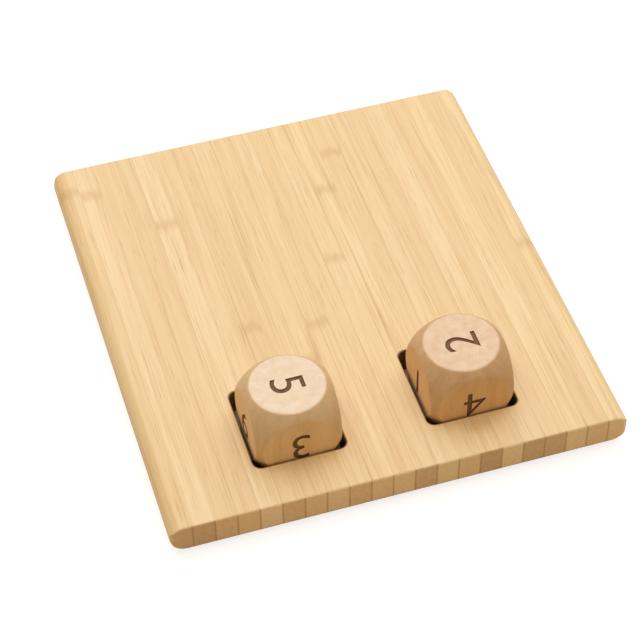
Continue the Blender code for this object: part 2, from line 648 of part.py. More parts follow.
def make_inlet(pad):
    mouth = (0, INLET_MOUTH, INLET_AXIS_HEIGHT)
    shell = add_piece(
        "inlet_shell", rounded_block(INLET_WIDTH, INLET_HEIGHT, INLET_LENGTH, INLET_CORNER_RADIUS),
        "steel", mouth, pad, FACING_BACK,
    )
    inner = rounded_block(
        INLET_WIDTH - 2 * INLET_WALL, INLET_HEIGHT - 2 * INLET_WALL, INLET_LENGTH - INLET_WALL + OVERCUT,
        INLET_CORNER_RADIUS - INLET_WALL,
    )
    combine(shell, "DIFFERENCE", inner, (0, INLET_MOUTH + OVERCUT, INLET_AXIS_HEIGHT), FACING_BACK)
    back = INLET_LENGTH - INLET_WALL - SEAT_GAP
    step = back - TONGUE_BASE_LENGTH
    half_base = INLET_HEIGHT / 2 - INLET_WALL - SEAT_GAP
    half_tongue = TONGUE_THICKNESS / 2
    outline = [
        (back, -half_base), (back, half_base), (step, half_base), (step, half_tongue),
        (step - TONGUE_LENGTH, half_tongue), (step - TONGUE_LENGTH, -half_tongue),
        (step, -half_tongue), (step, -half_base),
    ]
    tongue = extruded(outline, TONGUE_WIDTH)
    along_inlet = Matrix(((0, 0, 1, -TONGUE_WIDTH / 2), (-1, 0, 0, 0), (0, 1, 0, 0), (0, 0, 0, 1)))
    bmesh.ops.transform(tongue, matrix=along_inlet, verts=tongue.verts[:])
    add_piece("inlet_tongue", tongue, "inlet_plastic", mouth, pad)


def make_status_light(pad):
    led_y = NOSE_END - PCB_MARGIN
    led = block(LED_WIDTH, LED_LENGTH, LED_HEIGHT)
    add_piece("status_led", led, "clear_plastic", (LED_X, led_y, COMPONENT_BOTTOM), pad)
    flange, radius = PIPE_FLANGE_DIAMETER / 2, PIPE_DIAMETER / 2
    inner_end = BOARD_BACK - BEZEL_PLATE - SEAT_GAP
    shoulder = inner_end - PIPE_FLANGE_THICKNESS
    length = BOARD_BACK - shoulder
    profile = [
        (0, length), (flange, length), (flange, length - PIPE_FLANGE_THICKNESS),
        (radius, length - PIPE_FLANGE_THICKNESS), (radius, INLET_MOUTH_RECESS), (0, INLET_MOUTH_RECESS),
    ]
    add_piece(
        "light_pipe", turned(profile, SCREW_SEGMENTS), "clear_plastic",
        (LED_X, BOARD_BACK, INLET_AXIS_HEIGHT), pad, FACING_BACK,
    )


def make_bezel(pad):
    """A plate in the back edge with the inlet's opening, on a floor that runs in to the cover."""
    height = BEZEL_TOP - BOARD_BOTTOM
    plate = rounded_block(BEZEL_WIDTH, height, BEZEL_PLATE, BEZEL_CORNER_RADIUS)
    bezel = add_piece(
        "port_bezel", plate, "cover_plastic", (0, BOARD_BACK, BOARD_BOTTOM + height / 2), pad, FACING_BACK
    )
    floor_front = REBATE_BACK
    floor_depth = BOARD_BACK - BEZEL_PLATE / 2 - floor_front
    floor = block(BEZEL_WIDTH - 2 * BEZEL_CORNER_RADIUS, floor_depth, COVER_THICKNESS)
    combine(bezel, "UNION", floor, (0, floor_front + floor_depth / 2, BOARD_BOTTOM))
    past = BEZEL_PLATE + 2 * OVERCUT
    opening = rounded_block(
        INLET_WIDTH + 2 * SIDE_GAP, INLET_HEIGHT + 2 * SIDE_GAP, past, INLET_CORNER_RADIUS + SIDE_GAP
    )
    outside = BOARD_BACK + OVERCUT
    combine(bezel, "DIFFERENCE", opening, (0, outside, INLET_AXIS_HEIGHT), FACING_BACK)
    light_hole = cylinder(PIPE_DIAMETER + 2 * SEAT_GAP, past, SCREW_SEGMENTS)
    combine(bezel, "DIFFERENCE", light_hole, (LED_X, outside, INLET_AXIS_HEIGHT), FACING_BACK)


# Coil stack

def coil_route():
    """The wire's middle line: up from its pad, under the turns, out along the spiral, down to a pad."""
    pad_height = PCB_TOP + SEAT_GAP
    in_x = COIL_INNER_RADIUS
    lead_in = smooth_route([
        Vector((in_x, PAD_ROW_Y, pad_height)),
        Vector((in_x, PAD_ROW_Y, pad_height + WIRE_DIAMETER)),
        Vector((in_x, PAD_ROW_Y - PAD_ROW / 2, SLOT_LEAD_HEIGHT - WIRE_DIAMETER)),
        Vector((in_x, FERRITE_BACK, SLOT_LEAD_HEIGHT)),
        Vector((in_x, COIL_Y + COIL_OUTER_RADIUS, SLOT_LEAD_HEIGHT)),
        Vector((in_x, COIL_Y + LEAD_RAMP_RUN, SLOT_LEAD_HEIGHT)),
    ])
    ramp_length = LEAD_RAMP_RUN + COIL_INNER_RADIUS * LEAD_RAMP_TURN
    climb = COIL_HEIGHT - SLOT_LEAD_HEIGHT

    def height_at(run):
        t = min(1.0, run / ramp_length)
        return SLOT_LEAD_HEIGHT + climb * t * t * (3 - 2 * t)

    ramp = []
    for step in range(1, LEAD_STEPS):
        run = LEAD_RAMP_RUN * step / LEAD_STEPS
        ramp.append(Vector((in_x, COIL_Y + LEAD_RAMP_RUN - run, height_at(run))))
    turns = []
    for step in range(round((COIL_TURNS + 0.5) * COIL_POINTS_PER_TURN) + 1):
        angle = 2 * math.pi * step / COIL_POINTS_PER_TURN
        radius = COIL_INNER_RADIUS + COIL_PITCH * step / COIL_POINTS_PER_TURN
        height = height_at(LEAD_RAMP_RUN + COIL_INNER_RADIUS * angle)
        turns.append(Vector((radius * math.cos(angle), COIL_Y - radius * math.sin(angle), height)))
    out_x = -BOSS_X + BOSS_DIAMETER / 2 + WIRE_DIAMETER
    lead_out = smooth_route([
        turns[-1],
        Vector((-COIL_OUTER_RADIUS, COIL_Y + COIL_OUTER_RADIUS / 2, COIL_HEIGHT)),
        Vector(((out_x - COIL_OUTER_RADIUS) / 2, COIL_Y + COIL_OUTER_RADIUS, COIL_HEIGHT)),
        Vector((out_x, FERRITE_BACK, COIL_HEIGHT)),
        Vector((out_x, PAD_ROW_Y - PAD_ROW / 2, (COIL_HEIGHT + pad_height) / 2)),
        Vector((out_x, PAD_ROW_Y, pad_height + WIRE_DIAMETER)),
        Vector((out_x, PAD_ROW_Y, pad_height)),
    ])
    return lead_in + ramp + turns + lead_out[1:]


def make_coil(pad):
    route = coil_route()
    add_tube("charging_coil", route, [1.0] * len(route), WIRE_DIAMETER, "copper", pad)
    print(f"least gap of the coil to itself: {1000 * least_self_gap(route, WIRE_DIAMETER):.2f} mm")


def make_ferrite(pad):
    plate = add_piece(
        "ferrite_plate", rounded_block(FERRITE_SIZE, FERRITE_SIZE, FERRITE_THICKNESS, FERRITE_CORNER_RADIUS),
        "ferrite", (0, COIL_Y, FERRITE_BOTTOM), pad,
    )
    through = FERRITE_THICKNESS + 2 * OVERCUT
    back = FERRITE_BACK + OVERCUT
    slots = [
        (COIL_INNER_RADIUS, WIRE_DIAMETER + 2 * SLOT_CLEARANCE, COIL_Y - LEAD_RAMP_RUN),
        (0, THERMISTOR_BEAD_DIAMETER + SLOT_CLEARANCE, COIL_Y - THERMISTOR_BEAD_LENGTH),
    ]
    for x, width, front in slots:
        slot = block(width, back - front, through)
        combine(plate, "DIFFERENCE", slot, (x, (front + back) / 2, FERRITE_BOTTOM - OVERCUT))


def make_coil_tape(pad):
    tape = cylinder(2 * (COIL_OUTER_RADIUS + WIRE_DIAMETER), TAPE_THICKNESS, 2 * ROUND_SEGMENTS)
    add_piece("coil_tape", tape, "tape", (0, COIL_Y, TAPE_BOTTOM), pad)


def make_foam(pad):
    size = FERRITE_SIZE - 2 * FOAM_INSET
    foam = rounded_block(size, size, FOAM_TOP - FOAM_BOTTOM, FERRITE_CORNER_RADIUS)
    add_piece("foam_spacer", foam, "foam", (0, COIL_Y, FOAM_BOTTOM), pad)


def make_thermistor(pad):
    """A coated bead in the middle of the coil, on a lead that runs through the ferrite's slot."""
    pad_height = PCB_TOP + SEAT_GAP
    bead_back = COIL_Y + THERMISTOR_BEAD_LENGTH / 2
    bead_front = COIL_Y - THERMISTOR_BEAD_LENGTH / 2
    lead = smooth_route([
        Vector((0, PAD_ROW_Y, pad_height)),
        Vector((0, PAD_ROW_Y, pad_height + THERMISTOR_LEAD_DIAMETER)),
        Vector((0, PAD_ROW_Y - PAD_ROW / 2, SLOT_LEAD_HEIGHT - THERMISTOR_LEAD_DIAMETER)),
        Vector((0, FERRITE_BACK, SLOT_LEAD_HEIGHT)),
        Vector((0, bead_back + THERMISTOR_BEAD_DIAMETER, SLOT_LEAD_HEIGHT)),
    ])
    swell = THERMISTOR_BEAD_DIAMETER / THERMISTOR_LEAD_DIAMETER
    bead = [Vector((0, y, SLOT_LEAD_HEIGHT)) for y in (bead_back, COIL_Y, bead_front)]
    radii = [1.0] * len(lead) + [swell, swell, swell / 2]
    add_tube("thermistor", lead + bead, radii, THERMISTOR_LEAD_DIAMETER, "thermistor_coat", pad)


def main():
    clear_scene()
    pad = add_empty("pad", (0, 0, 0))
    make_board(pad)
    for name, x in DIE_XS.items():
        make_die(name, x, pad)
    for name, (x, y) in FOOT_PLACES.items():
        make_foot(name, x, y, pad)
    make_cover(pad)
    for name, (x, y) in cover_screw_places().items():
        make_cover_screw(name, x, y, pad)
    make_circuit_board(pad)
    for name, (x, y) in board_screw_places().items():
        make_board_screw(name, x, y, pad)
    make_row(INPUT_PARTS, INPUT_ROW_Y, pad)
    make_row(CONTROL_PARTS, CONTROL_ROW_Y, pad)
    make_row(BRIDGE_PARTS, BRIDGE_ROW_Y, pad)
    make_inlet(pad)
    make_status_light(pad)
    make_bezel(pad)
    make_coil(pad)
    make_ferrite(pad)
    make_coil_tape(pad)
    make_foam(pad)
    make_thermistor(pad)


main()
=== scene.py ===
"""Looks of the bamboo charging pad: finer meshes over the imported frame, their finishes, light and camera.

Metres in the frame's own axes: +X to the user's right, +Y to the back edge with the inlet, +Z up.
"""

import json
import math

import bmesh
import bpy
from mathutils import Matrix, Quaternion, Vector


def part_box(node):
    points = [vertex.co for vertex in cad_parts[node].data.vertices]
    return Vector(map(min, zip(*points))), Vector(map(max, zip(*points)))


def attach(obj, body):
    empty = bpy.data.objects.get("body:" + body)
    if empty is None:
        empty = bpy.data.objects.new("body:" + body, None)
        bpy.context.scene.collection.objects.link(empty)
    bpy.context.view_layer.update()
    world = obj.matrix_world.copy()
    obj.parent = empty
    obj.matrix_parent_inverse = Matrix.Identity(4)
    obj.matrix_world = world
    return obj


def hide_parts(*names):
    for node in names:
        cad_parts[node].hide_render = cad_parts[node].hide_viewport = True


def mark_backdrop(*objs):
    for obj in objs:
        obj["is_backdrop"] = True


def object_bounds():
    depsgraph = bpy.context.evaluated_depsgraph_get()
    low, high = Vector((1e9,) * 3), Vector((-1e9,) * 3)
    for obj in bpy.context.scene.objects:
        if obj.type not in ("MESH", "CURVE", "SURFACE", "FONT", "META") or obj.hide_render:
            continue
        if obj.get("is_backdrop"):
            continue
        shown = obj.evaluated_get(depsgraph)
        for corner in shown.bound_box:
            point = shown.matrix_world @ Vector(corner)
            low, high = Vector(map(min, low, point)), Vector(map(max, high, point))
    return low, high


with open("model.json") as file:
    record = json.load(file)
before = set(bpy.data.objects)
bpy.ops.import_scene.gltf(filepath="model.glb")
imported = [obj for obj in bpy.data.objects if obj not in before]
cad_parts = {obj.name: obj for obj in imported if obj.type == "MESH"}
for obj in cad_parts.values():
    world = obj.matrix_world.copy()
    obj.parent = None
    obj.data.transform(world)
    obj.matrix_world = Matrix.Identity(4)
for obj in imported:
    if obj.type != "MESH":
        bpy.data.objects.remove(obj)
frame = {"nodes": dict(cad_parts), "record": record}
CAD_LOW, CAD_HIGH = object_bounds()

MM_PER_METRE = 1000

# Gaps that the frame keeps between pieces that touch
SEAT_GAP = 0.0002
SIDE_GAP = 0.0003

# Slab
SLAB_CORNER = 0.0035
SLAB_END_FILLET = 0.0008
SIDE_TOP_RADIUS = 0.0055
POCKET_SIDE_ROOM = 0.0011
POCKET_FRONT_ROOM = 0.0005
POCKET_BACK_ROOM = 0.004
POCKET_CORNER = 0.003
POCKET_RIM = 0.0005
COVER_LEDGE = 0.006
CAVITY_CORNER = 0.004
REBATE_CORNER = 0.007
STRIP_COUNT = 21

# Dice
DIE_TURNED_RADIUS = 0.0203
LEFT_DIE_EDGE = 0.0018
RIGHT_DIE_EDGE = 0.0020
NUMERAL_HEIGHT = 0.0125
NUMERAL_DEPTH = 0.0004

# Height of a numeral in the built-in font at size 1
FONT_NUMERAL_HEIGHT = 0.73

# A die is made of six patches that reach past its corners, which are 54.7 degrees from each flat's axis
DIE_PATCH_REACH = math.radians(58)

# The numeral on each face of a die and its turn on that face in degrees: opposite faces add up to seven
LEFT_NUMERALS = {
    "top": ("5", -90), "front": ("3", 180), "left": ("6", 0),
    "right": ("1", 0), "back": ("4", 0), "bottom": ("2", 0),
}
RIGHT_NUMERALS = {
    "top": ("2", 90), "front": ("4", 180), "left": ("1", 0),
    "right": ("6", 0), "back": ("3", 0), "bottom": ("5", 0),
}

# Cover, feet and screws
COVER_THICKNESS = 0.002
COVER_CORNER = REBATE_CORNER - SIDE_GAP
COVER_FILLET = 0.0005
BOSS_RADIUS = 0.0025
FOOT_ROUNDING = 0.0009
COVER_SHANK_RADIUS = 0.0012
COVER_HEAD_HEIGHT = 0.0013
BOARD_SHANK_RADIUS = 0.0009
BOARD_HEAD_HEIGHT = 0.0012
CROSS_WIDTH = 0.0005
CROSS_DEPTH = 0.0007
CROSS_SHARE = 0.6
CROSS_TAPER = 0.55

# Inlet, bezel and status light
BEZEL_PLATE = 0.002
BEZEL_CORNER = 0.0008
BEZEL_FILLET = 0.0002
INLET_CORNER = 0.0014
INLET_WALL = 0.0003
INLET_FILLET = INLET_WALL / 3
PIPE_RADIUS = 0.001
PIPE_FLANGE = 0.0006
PIPE_DOME = 0.0002

# How finely round shapes are cut, and how far a cutter runs past what it cuts
CORNER_STEPS = 16
FILLET_STEPS = 6
SMALL_FILLET_STEPS = 3
INLET_FILLET_STEPS = 2
ROUND_STEPS = 48
DIE_STEPS = 96
NUMERAL_STEPS = 6
OVERCUT = 0.001
MERGE_DISTANCE = 1e-6

# From which angle an edge is shaded sharp, and how much more a large flat face counts than a small one
SHARP_ANGLE = math.radians(32)
DIE_SHARP_ANGLE = math.radians(40)
FLAT_FACE_WEIGHT = 100

# Camera, fitted to the board's edges in a picture of 640 x 640
CAMERA_PLACE = Vector((-0.15559, -0.50572, 0.57841))
CAMERA_LOOK = Vector((0.19516, 0.64336, -0.74029))
CAMERA_ROLL = math.radians(-0.6533)
CAMERA_LENS = 118.917
CAMERA_SENSOR = 36.0
CAMERA_CLIP_START = 0.05

# Studio
FLOOR_RADIUS = 0.7
FLOOR_GLOW = 0.78
FLOOR_WHITE = 0.38
FLOOR_BOUNCE = (0.60, 0.46, 0.28, 1.0)
AMBIENT = (1.0, 0.77, 0.42)
AMBIENT_STRENGTH = 0.44
LAMP_COLOUR = (0.79, 0.89, 1.0)
KEY_PLACE = Vector((0.25, 0.80, 1.50))
KEY_SIZE = 2.4
KEY_POWER = 29.5
TOP_PLACE = Vector((-0.2, 0.1, 1.6))
TOP_SIZE = 1.6
TOP_POWER = 5.5

# Colours of the bamboo
PALE_CANE = (0.95, 0.735, 0.45, 1.0)
DARK_CANE = (0.74, 0.47, 0.205, 1.0)
LONG_FIBRE = (0.60, 0.345, 0.135, 1.0)
DARK_FIBRE = (0.46, 0.255, 0.095, 1.0)
CANE_JOINT = (0.58, 0.30, 0.095, 1.0)
FIBRE_END = (0.27, 0.14, 0.05, 1.0)
GLUE_LINE = (0.34, 0.18, 0.07, 1.0)
# Painted shade along the slab's lower rim, darkened as if in the shadow under the board
LOWER_RIM_SHADE = (0.20, 0.115, 0.05, 1.0)

# Millimetres of grain between strips, the random draw for cane joints, and the width and ripple of a joint
STRIP_SHIFT = 700.0
JOINT_DRAW = 40.5
JOINT_WIDTH = 4.5
JOINT_RIPPLE = 5.0

# Fleck of the beech, and the painted shade its colour is multiplied by on round parts, upright flats and
# level flats
BEECH_FLECK = (0.45, 0.25, 0.125, 1.0)
ROUND_PAINTED_SHADE = (0.76, 0.655, 0.49, 1.0)
SIDE_FLAT_PAINTED_SHADE = (0.91, 0.80, 0.60, 1.0)
LEVEL_FLAT_TINT = (1.0, 1.0, 1.0, 1.0)

GILT = (0.83, 0.58, 0.22, 1.0)
COVERED_TRACK = (0.045, 0.26, 0.10, 1.0)

# Sockets of a mix node that mixes colours
MIX_FACTOR, MIX_UNDER, MIX_OVER, MIX_RESULT = 0, 6, 7, 2


# Nodes of a finish

class Finish:
    """A procedural material. Places are read in millimetres of the object's own frame."""

    def __init__(self, name):
        self.material = bpy.data.materials.new(name)
        self.material.use_nodes = True
        self.tree = self.material.node_tree
        self.shader = self.tree.nodes["Principled BSDF"]
        self.coordinates = self.add("ShaderNodeTexCoord")

    def add(self, kind, inputs=None, **settings):
        """A node with its settings, and with its input sockets set or linked by name or number."""
        node = self.tree.nodes.new(kind)
        for name, value in settings.items():
            setattr(node, name, value)
        for key, value in (inputs or {}).items():
            self.feed(node.inputs[key], value)
        return node

    def feed(self, socket, value):
        if isinstance(value, bpy.types.NodeSocket):
            self.tree.links.new(value, socket)
        else:
            socket.default_value = value

    def set(self, **inputs):
        """Set or link the shader's own sockets, named with underscores for blanks."""
        for name, value in inputs.items():
            self.feed(self.shader.inputs[name.replace("_", " ")], value)
        return self.material

    def place(self, scale=(1, 1, 1), offset=(0, 0, 0)):
        """Object coordinates in millimetres, stretched and shifted."""
        mapping = self.add(
            "ShaderNodeMapping",
            {"Vector": self.coordinates.outputs["Object"], "Location": offset,
             "Scale": [MM_PER_METRE * share for share in scale]},
        )
        return mapping.outputs[0]

    def normal(self):
        """X, Y and Z of the direction that the surface faces."""
        return self.split(self.coordinates.outputs["Normal"])

    def split(self, vector):
        return self.add("ShaderNodeSeparateXYZ", {0: vector}).outputs

    def join(self, x, y, z):
        return self.add("ShaderNodeCombineXYZ", {0: x, 1: y, 2: z}).outputs[0]

    def math(self, operation, *values, clamp=False):
        inputs = dict(enumerate(values))
        return self.add("ShaderNodeMath", inputs, operation=operation, use_clamp=clamp).outputs[0]

    def fade(self, value, start, end, low=0.0, high=1.0):
        """A smooth step of a value from low to high."""
        node = self.add(
            "ShaderNodeMapRange",
            {"Value": value, "From Min": start, "From Max": end, "To Min": low, "To Max": high},
            interpolation_type="SMOOTHSTEP",
        )
        return node.outputs[0]

    def spread(self, value, low, high):
        """A value from 0 to 1 spread evenly from low to high."""
        return self.add("ShaderNodeMapRange", {"Value": value, "To Min": low, "To Max": high}).outputs[0]

    def noise(self, vector, scale=1.0, detail=2.0, roughness=0.5):
        node = self.add(
            "ShaderNodeTexNoise", {"Vector": vector, "Scale": scale, "Detail": detail, "Roughness": roughness}
        )
        return node.outputs[0]

    def dots(self, vector, scale):
        """Distance to the nearest of many scattered points."""
        return self.add("ShaderNodeTexVoronoi", {"Vector": vector, "Scale": scale}).outputs["Distance"]

    def chance(self, number):
        """Three random numbers for a whole number."""
        node = self.add("ShaderNodeTexWhiteNoise", {"W": number}, noise_dimensions="1D")
        return self.add("ShaderNodeSeparateColor", {0: node.outputs["Color"]}).outputs

    def blend(self, factor, under, over, kind="MIX"):
        node = self.add("ShaderNodeMix", data_type="RGBA", blend_type=kind)
        self.feed(node.inputs[MIX_FACTOR], factor)
        self.feed(node.inputs[MIX_UNDER], under)
        self.feed(node.inputs[MIX_OVER], over)
        return node.outputs[MIX_RESULT]

    def shade(self, value, *stops):
        """A colour ramp through (place, colour) stops."""
        node = self.add("ShaderNodeValToRGB", {0: value})
        elements = node.color_ramp.elements
        while len(elements) < len(stops):
            elements.new(0.5)
        for element, (place, colour) in zip(elements, stops):
            element.position = place
            element.color = (*colour, 1.0)
        return node.outputs[0]

    def tones(self, noise, dark, light):
        """A colour from dark to light over most of the range of a noise."""
        return self.shade(noise, (0.3, dark), (0.7, light))

    def bump(self, height, distance, strength=1.0):
        """Relief from a height of 0 to 1, over a distance in metres."""
        node = self.add("ShaderNodeBump", {"Height": height, "Distance": distance, "Strength": strength})
        return node.outputs[0]


# Finishes

def oiled_bamboo():
    """Strips of bamboo glued side by side, with the fibres along Y and their cut ends in front and behind."""
    finish = Finish("oiled_bamboo")
    low, high = (MM_PER_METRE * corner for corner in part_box("bamboo_board"))
    strip_width = (high.x - low.x) / STRIP_COUNT
    x, y, z = finish.split(finish.place())
    strips = finish.math("DIVIDE", finish.math("SUBTRACT", x, low.x), strip_width)
    strip = finish.math("FLOOR", strips)
    across = finish.math("FRACT", strips)
    tone, hue, shift = finish.chance(strip)
    joint_y, joint_shown, end_tone = finish.chance(finish.math("ADD", strip, JOINT_DRAW))
    along = finish.math("MULTIPLY_ADD", shift, STRIP_SHIFT, y)

    def fibres(per_mm, length, detail):
        """Noise drawn out along the fibres, a different stretch of it in each strip."""
        vector = finish.join(
            finish.math("MULTIPLY", x, per_mm),
            finish.math("DIVIDE", along, length),
            finish.math("MULTIPLY", z, per_mm),
        )
        return finish.noise(vector, detail=detail, roughness=0.55)

    broad = fibres(0.42, 70.0, 2.0)
    fine = fibres(1.9, 26.0, 3.0)
    dark = fibres(3.1, 17.0, 2.0)
    long = fibres(1.1, 120.0, 2.0)
    wood = finish.shade(
        finish.math("ADD", finish.math("MULTIPLY", broad, 0.55), finish.math("MULTIPLY", fine, 0.45)),
        (0.30, (0.72, 0.46, 0.205)), (0.50, (0.89, 0.64, 0.34)), (0.72, (0.95, 0.745, 0.45)),
    )
    pale = finish.blend(finish.spread(hue, 0.0, 0.30), wood, PALE_CANE)
    toned = finish.blend(finish.spread(tone, 0.0, 0.36), pale, DARK_CANE)
    lined = finish.blend(finish.fade(long, 0.62, 0.74, 0.0, 0.42), toned, LONG_FIBRE)
    streaked = finish.blend(finish.fade(dark, 0.62, 0.74, 0.0, 0.55), lined, DARK_FIBRE)

    # The joints of the cane are brown bands across a strip, in some strips only
    wave = finish.noise(finish.place((0.6, 0.05, 0.6)), detail=1.0)
    rippled = finish.math("ADD", y, finish.math("MULTIPLY", wave, JOINT_RIPPLE))
    joint_place = finish.spread(joint_y, low.y, high.y)
    from_joint = finish.math("ABSOLUTE", finish.math("SUBTRACT", rippled, joint_place))
    band = finish.fade(from_joint, 0.0, JOINT_WIDTH, 1.0, 0.0)
    band = finish.math("MULTIPLY", band, finish.fade(joint_shown, 0.45, 0.50, 0.0, 0.62))
    banded = finish.blend(finish.math("MULTIPLY", band, fine), streaked, CANE_JOINT)

    # Cut ends show each cane as a darker block full of small fibre ends
    fibre_ends = finish.fade(finish.dots(finish.place((1.0, 0.15, 1.0)), 2.6), 0.15, 0.5)
    mottle = finish.noise(finish.place((0.5, 0.1, 0.5)), detail=3.0)
    ends = finish.shade(
        finish.math("ADD", finish.math("MULTIPLY", end_tone, 0.7), finish.math("MULTIPLY", mottle, 0.3)),
        (0.15, (0.66, 0.44, 0.22)), (0.50, (0.90, 0.64, 0.35)), (0.85, (0.97, 0.75, 0.46)),
    )
    dotted = finish.blend(finish.spread(fibre_ends, 0.32, 0.0), ends, FIBRE_END)
    facing = finish.math("ABSOLUTE", finish.normal()[1])
    is_end = finish.fade(facing, 0.45, 0.80)
    surface = finish.blend(is_end, banded, dotted)

    # Glue shows as a hairline between the strips
    edge = finish.math("ABSOLUTE", finish.math("SUBTRACT", across, 0.5))
    top_glue = finish.fade(edge, 0.484, 0.498, 0.0, 0.34)
    end_glue = finish.fade(edge, 0.43, 0.50, 0.0, 0.60)
    glue = finish.math("MAXIMUM", top_glue, finish.math("MULTIPLY", is_end, end_glue))
    glued = finish.blend(glue, surface, GLUE_LINE)

    # Painted shade: the lower rim is darkened as if in the shadow under the board, but not the flat underside
    above_flat = finish.fade(finish.normal()[2], -0.97, -0.80)
    rim = finish.math("MULTIPLY", above_flat, finish.fade(z, low.z + 0.2, low.z + 1.3, 0.62, 0.0))
    colour = finish.blend(rim, glued, LOWER_RIM_SHADE)

    relief = finish.math("SUBTRACT", finish.math("MULTIPLY", fine, 0.6), finish.math("MULTIPLY", glue, 0.9))
    return finish.set(
        Base_Color=colour,
        Roughness=finish.spread(fine, 0.40, 0.60),
        Normal=finish.bump(relief, 0.00012, 0.5),
        Specular_IOR_Level=0.4,
    )


def painted_pocket_shade():
    """The pockets, painted dark as painted shade in the narrow gap round each die: near black-brown walls and
    paler brown floors.
    """
    finish = Finish("painted_pocket_shade")
    grain = finish.noise(finish.place((1.6, 0.12, 1.6)), detail=3.0)
    # Painted shade: near black-brown walls and paler brown floors stand in for the dark gap round each die
    wall = finish.tones(grain, (0.085, 0.040, 0.015), (0.21, 0.105, 0.043))
    floor = finish.tones(grain, (0.36, 0.20, 0.080), (0.56, 0.35, 0.155))
    up = finish.fade(finish.normal()[2], 0.5, 0.95)
    return finish.set(
        Base_Color=finish.blend(up, wall, floor),
        Roughness=finish.spread(grain, 0.6, 0.8),
        Normal=finish.bump(grain, 0.0001, 0.4),
    )


def sanded_beech(name, light, mid):
    """Bare beech with upright grain; painted shade makes its upright flats darker and warmer, and its round
    parts darker still.
    """
    finish = Finish(name)
    rings = finish.noise(finish.place((0.35, 0.35, 0.05)), detail=2.0)
    fine = finish.noise(finish.place((2.4, 2.4, 0.3)), detail=3.0)
    fleck = finish.dots(finish.place((0.9, 0.9, 0.12)), 1.6)
    wood = finish.shade(
        finish.math("ADD", finish.math("MULTIPLY", rings, 0.6), finish.math("MULTIPLY", fine, 0.4)),
        (0.33, mid), (0.62, light),
    )
    flecked = finish.blend(finish.fade(fleck, 0.05, 0.22, 0.30, 0.0), wood, BEECH_FLECK)
    x, y, up = (finish.math("ABSOLUTE", part) for part in finish.normal())
    # Painted shade by facing: level flats keep their colour, upright flats and round parts are darkened
    flat = finish.fade(finish.math("MAXIMUM", up, finish.math("MAXIMUM", x, y)), 0.74, 1.0)
    flat_shade = finish.blend(finish.fade(up, 0.80, 0.97), SIDE_FLAT_PAINTED_SHADE, LEVEL_FLAT_TINT)
    painted_shade = finish.blend(flat, ROUND_PAINTED_SHADE, flat_shade)
    return finish.set(
        Base_Color=finish.blend(1.0, flecked, painted_shade, "MULTIPLY"),
        Roughness=finish.spread(fine, 0.50, 0.68),
        Normal=finish.bump(fine, 0.0001, 0.35),
        Specular_IOR_Level=0.35,
    )


def burnt_wood():
    """The floor and walls of a numeral that is burnt into a die."""
    finish = Finish("burnt_wood")
    soot = finish.noise(finish.place((1.4, 1.4, 1.4)), detail=4.0, roughness=0.65)
    colour = finish.tones(soot, (0.10, 0.042, 0.017), (0.25, 0.115, 0.05))
    return finish.set(
        Base_Color=colour,
        Roughness=finish.spread(soot, 0.7, 0.9),
        Normal=finish.bump(soot, 0.0002, 0.6),
    )


def moulded(name, dark, light, rough_low, rough_high, grain=3.0, depth=0.00004):
    """A plastic or rubber with the fine texture of its mould."""
    finish = Finish(name)
    texture = finish.noise(finish.place((grain, grain, grain)), detail=2.0, roughness=0.6)
    cloud = finish.noise(finish.place((0.06, 0.06, 0.06)), detail=3.0)
    return finish.set(
        Base_Color=finish.tones(cloud, dark, light),
        Roughness=finish.spread(texture, rough_low, rough_high),
        Normal=finish.bump(texture, depth, 0.5),
    )


def plated_steel():
    """Nickel-plated steel with fine drawing marks."""
    finish = Finish("plated_steel")
    marks = finish.noise(finish.place((6.0, 0.4, 6.0)), detail=3.0, roughness=0.6)
    colour = finish.tones(marks, (0.53, 0.53, 0.54), (0.70, 0.69, 0.68))
    return finish.set(
        Base_Color=colour, Metallic=1.0, Roughness=finish.spread(marks, 0.22, 0.42),
        Normal=finish.bump(marks, 0.00002, 0.4),
    )


def inlet_contacts():
    """Black moulded tongue with a row of gilt contacts along its two faces."""
    finish = Finish("inlet_contacts")
    x = finish.split(finish.place())[0]
    in_pitch = finish.math("FRACT", finish.math("MULTIPLY", x, 2.0))
    off_middle = finish.math("ABSOLUTE", finish.math("SUBTRACT", in_pitch, 0.5))
    up = finish.math("ABSOLUTE", finish.normal()[2])
    on_contact = finish.fade(off_middle, 0.24, 0.28, 1.0, 0.0)
    contact = finish.math("MULTIPLY", on_contact, finish.fade(up, 0.8, 0.95))
    within = finish.fade(finish.math("ABSOLUTE", x), 2.95, 3.0, 1.0, 0.0)
    contact = finish.math("MULTIPLY", contact, within)
    grain = finish.noise(finish.place((5.0, 5.0, 5.0)), detail=2.0)
    plastic = finish.tones(grain, (0.014, 0.014, 0.015), (0.030, 0.030, 0.032))
    return finish.set(
        Base_Color=finish.blend(contact, plastic, GILT),
        Metallic=contact,
        Roughness=finish.spread(grain, 0.35, 0.5),
    )


def clear_lens(name, glow):
    """Milky clear plastic that carries a little light."""
    finish = Finish(name)
    milk = finish.noise(finish.place((1.2, 1.2, 1.2)), detail=2.0)
    return finish.set(
        Base_Color=finish.tones(milk, (0.72, 0.77, 0.80), (0.88, 0.92, 0.94)),
        Roughness=finish.spread(milk, 0.10, 0.22),
        Transmission_Weight=glow,
        IOR=1.49,
    )


def solder_mask():
    """Green mask with faint copper tracks under it."""
    finish = Finish("solder_mask")
    track = finish.add("ShaderNodeTexBrick", {
        "Vector": finish.place(), "Scale": 0.42, "Mortar Size": 0.05, "Color1": (0, 0, 0, 1),
        "Color2": (0.35, 0.35, 0.35, 1), "Mortar": (1, 1, 1, 1),
    }).outputs[0]
    grain = finish.noise(finish.place((2.0, 2.0, 2.0)), detail=2.0)
    mask = finish.tones(grain, (0.010, 0.115, 0.045), (0.022, 0.165, 0.070))
    return finish.set(
        Base_Color=finish.blend(track, mask, COVERED_TRACK),
        Roughness=finish.spread(grain, 0.25, 0.4),
        Normal=finish.bump(track, 0.00003, 0.4),
    )


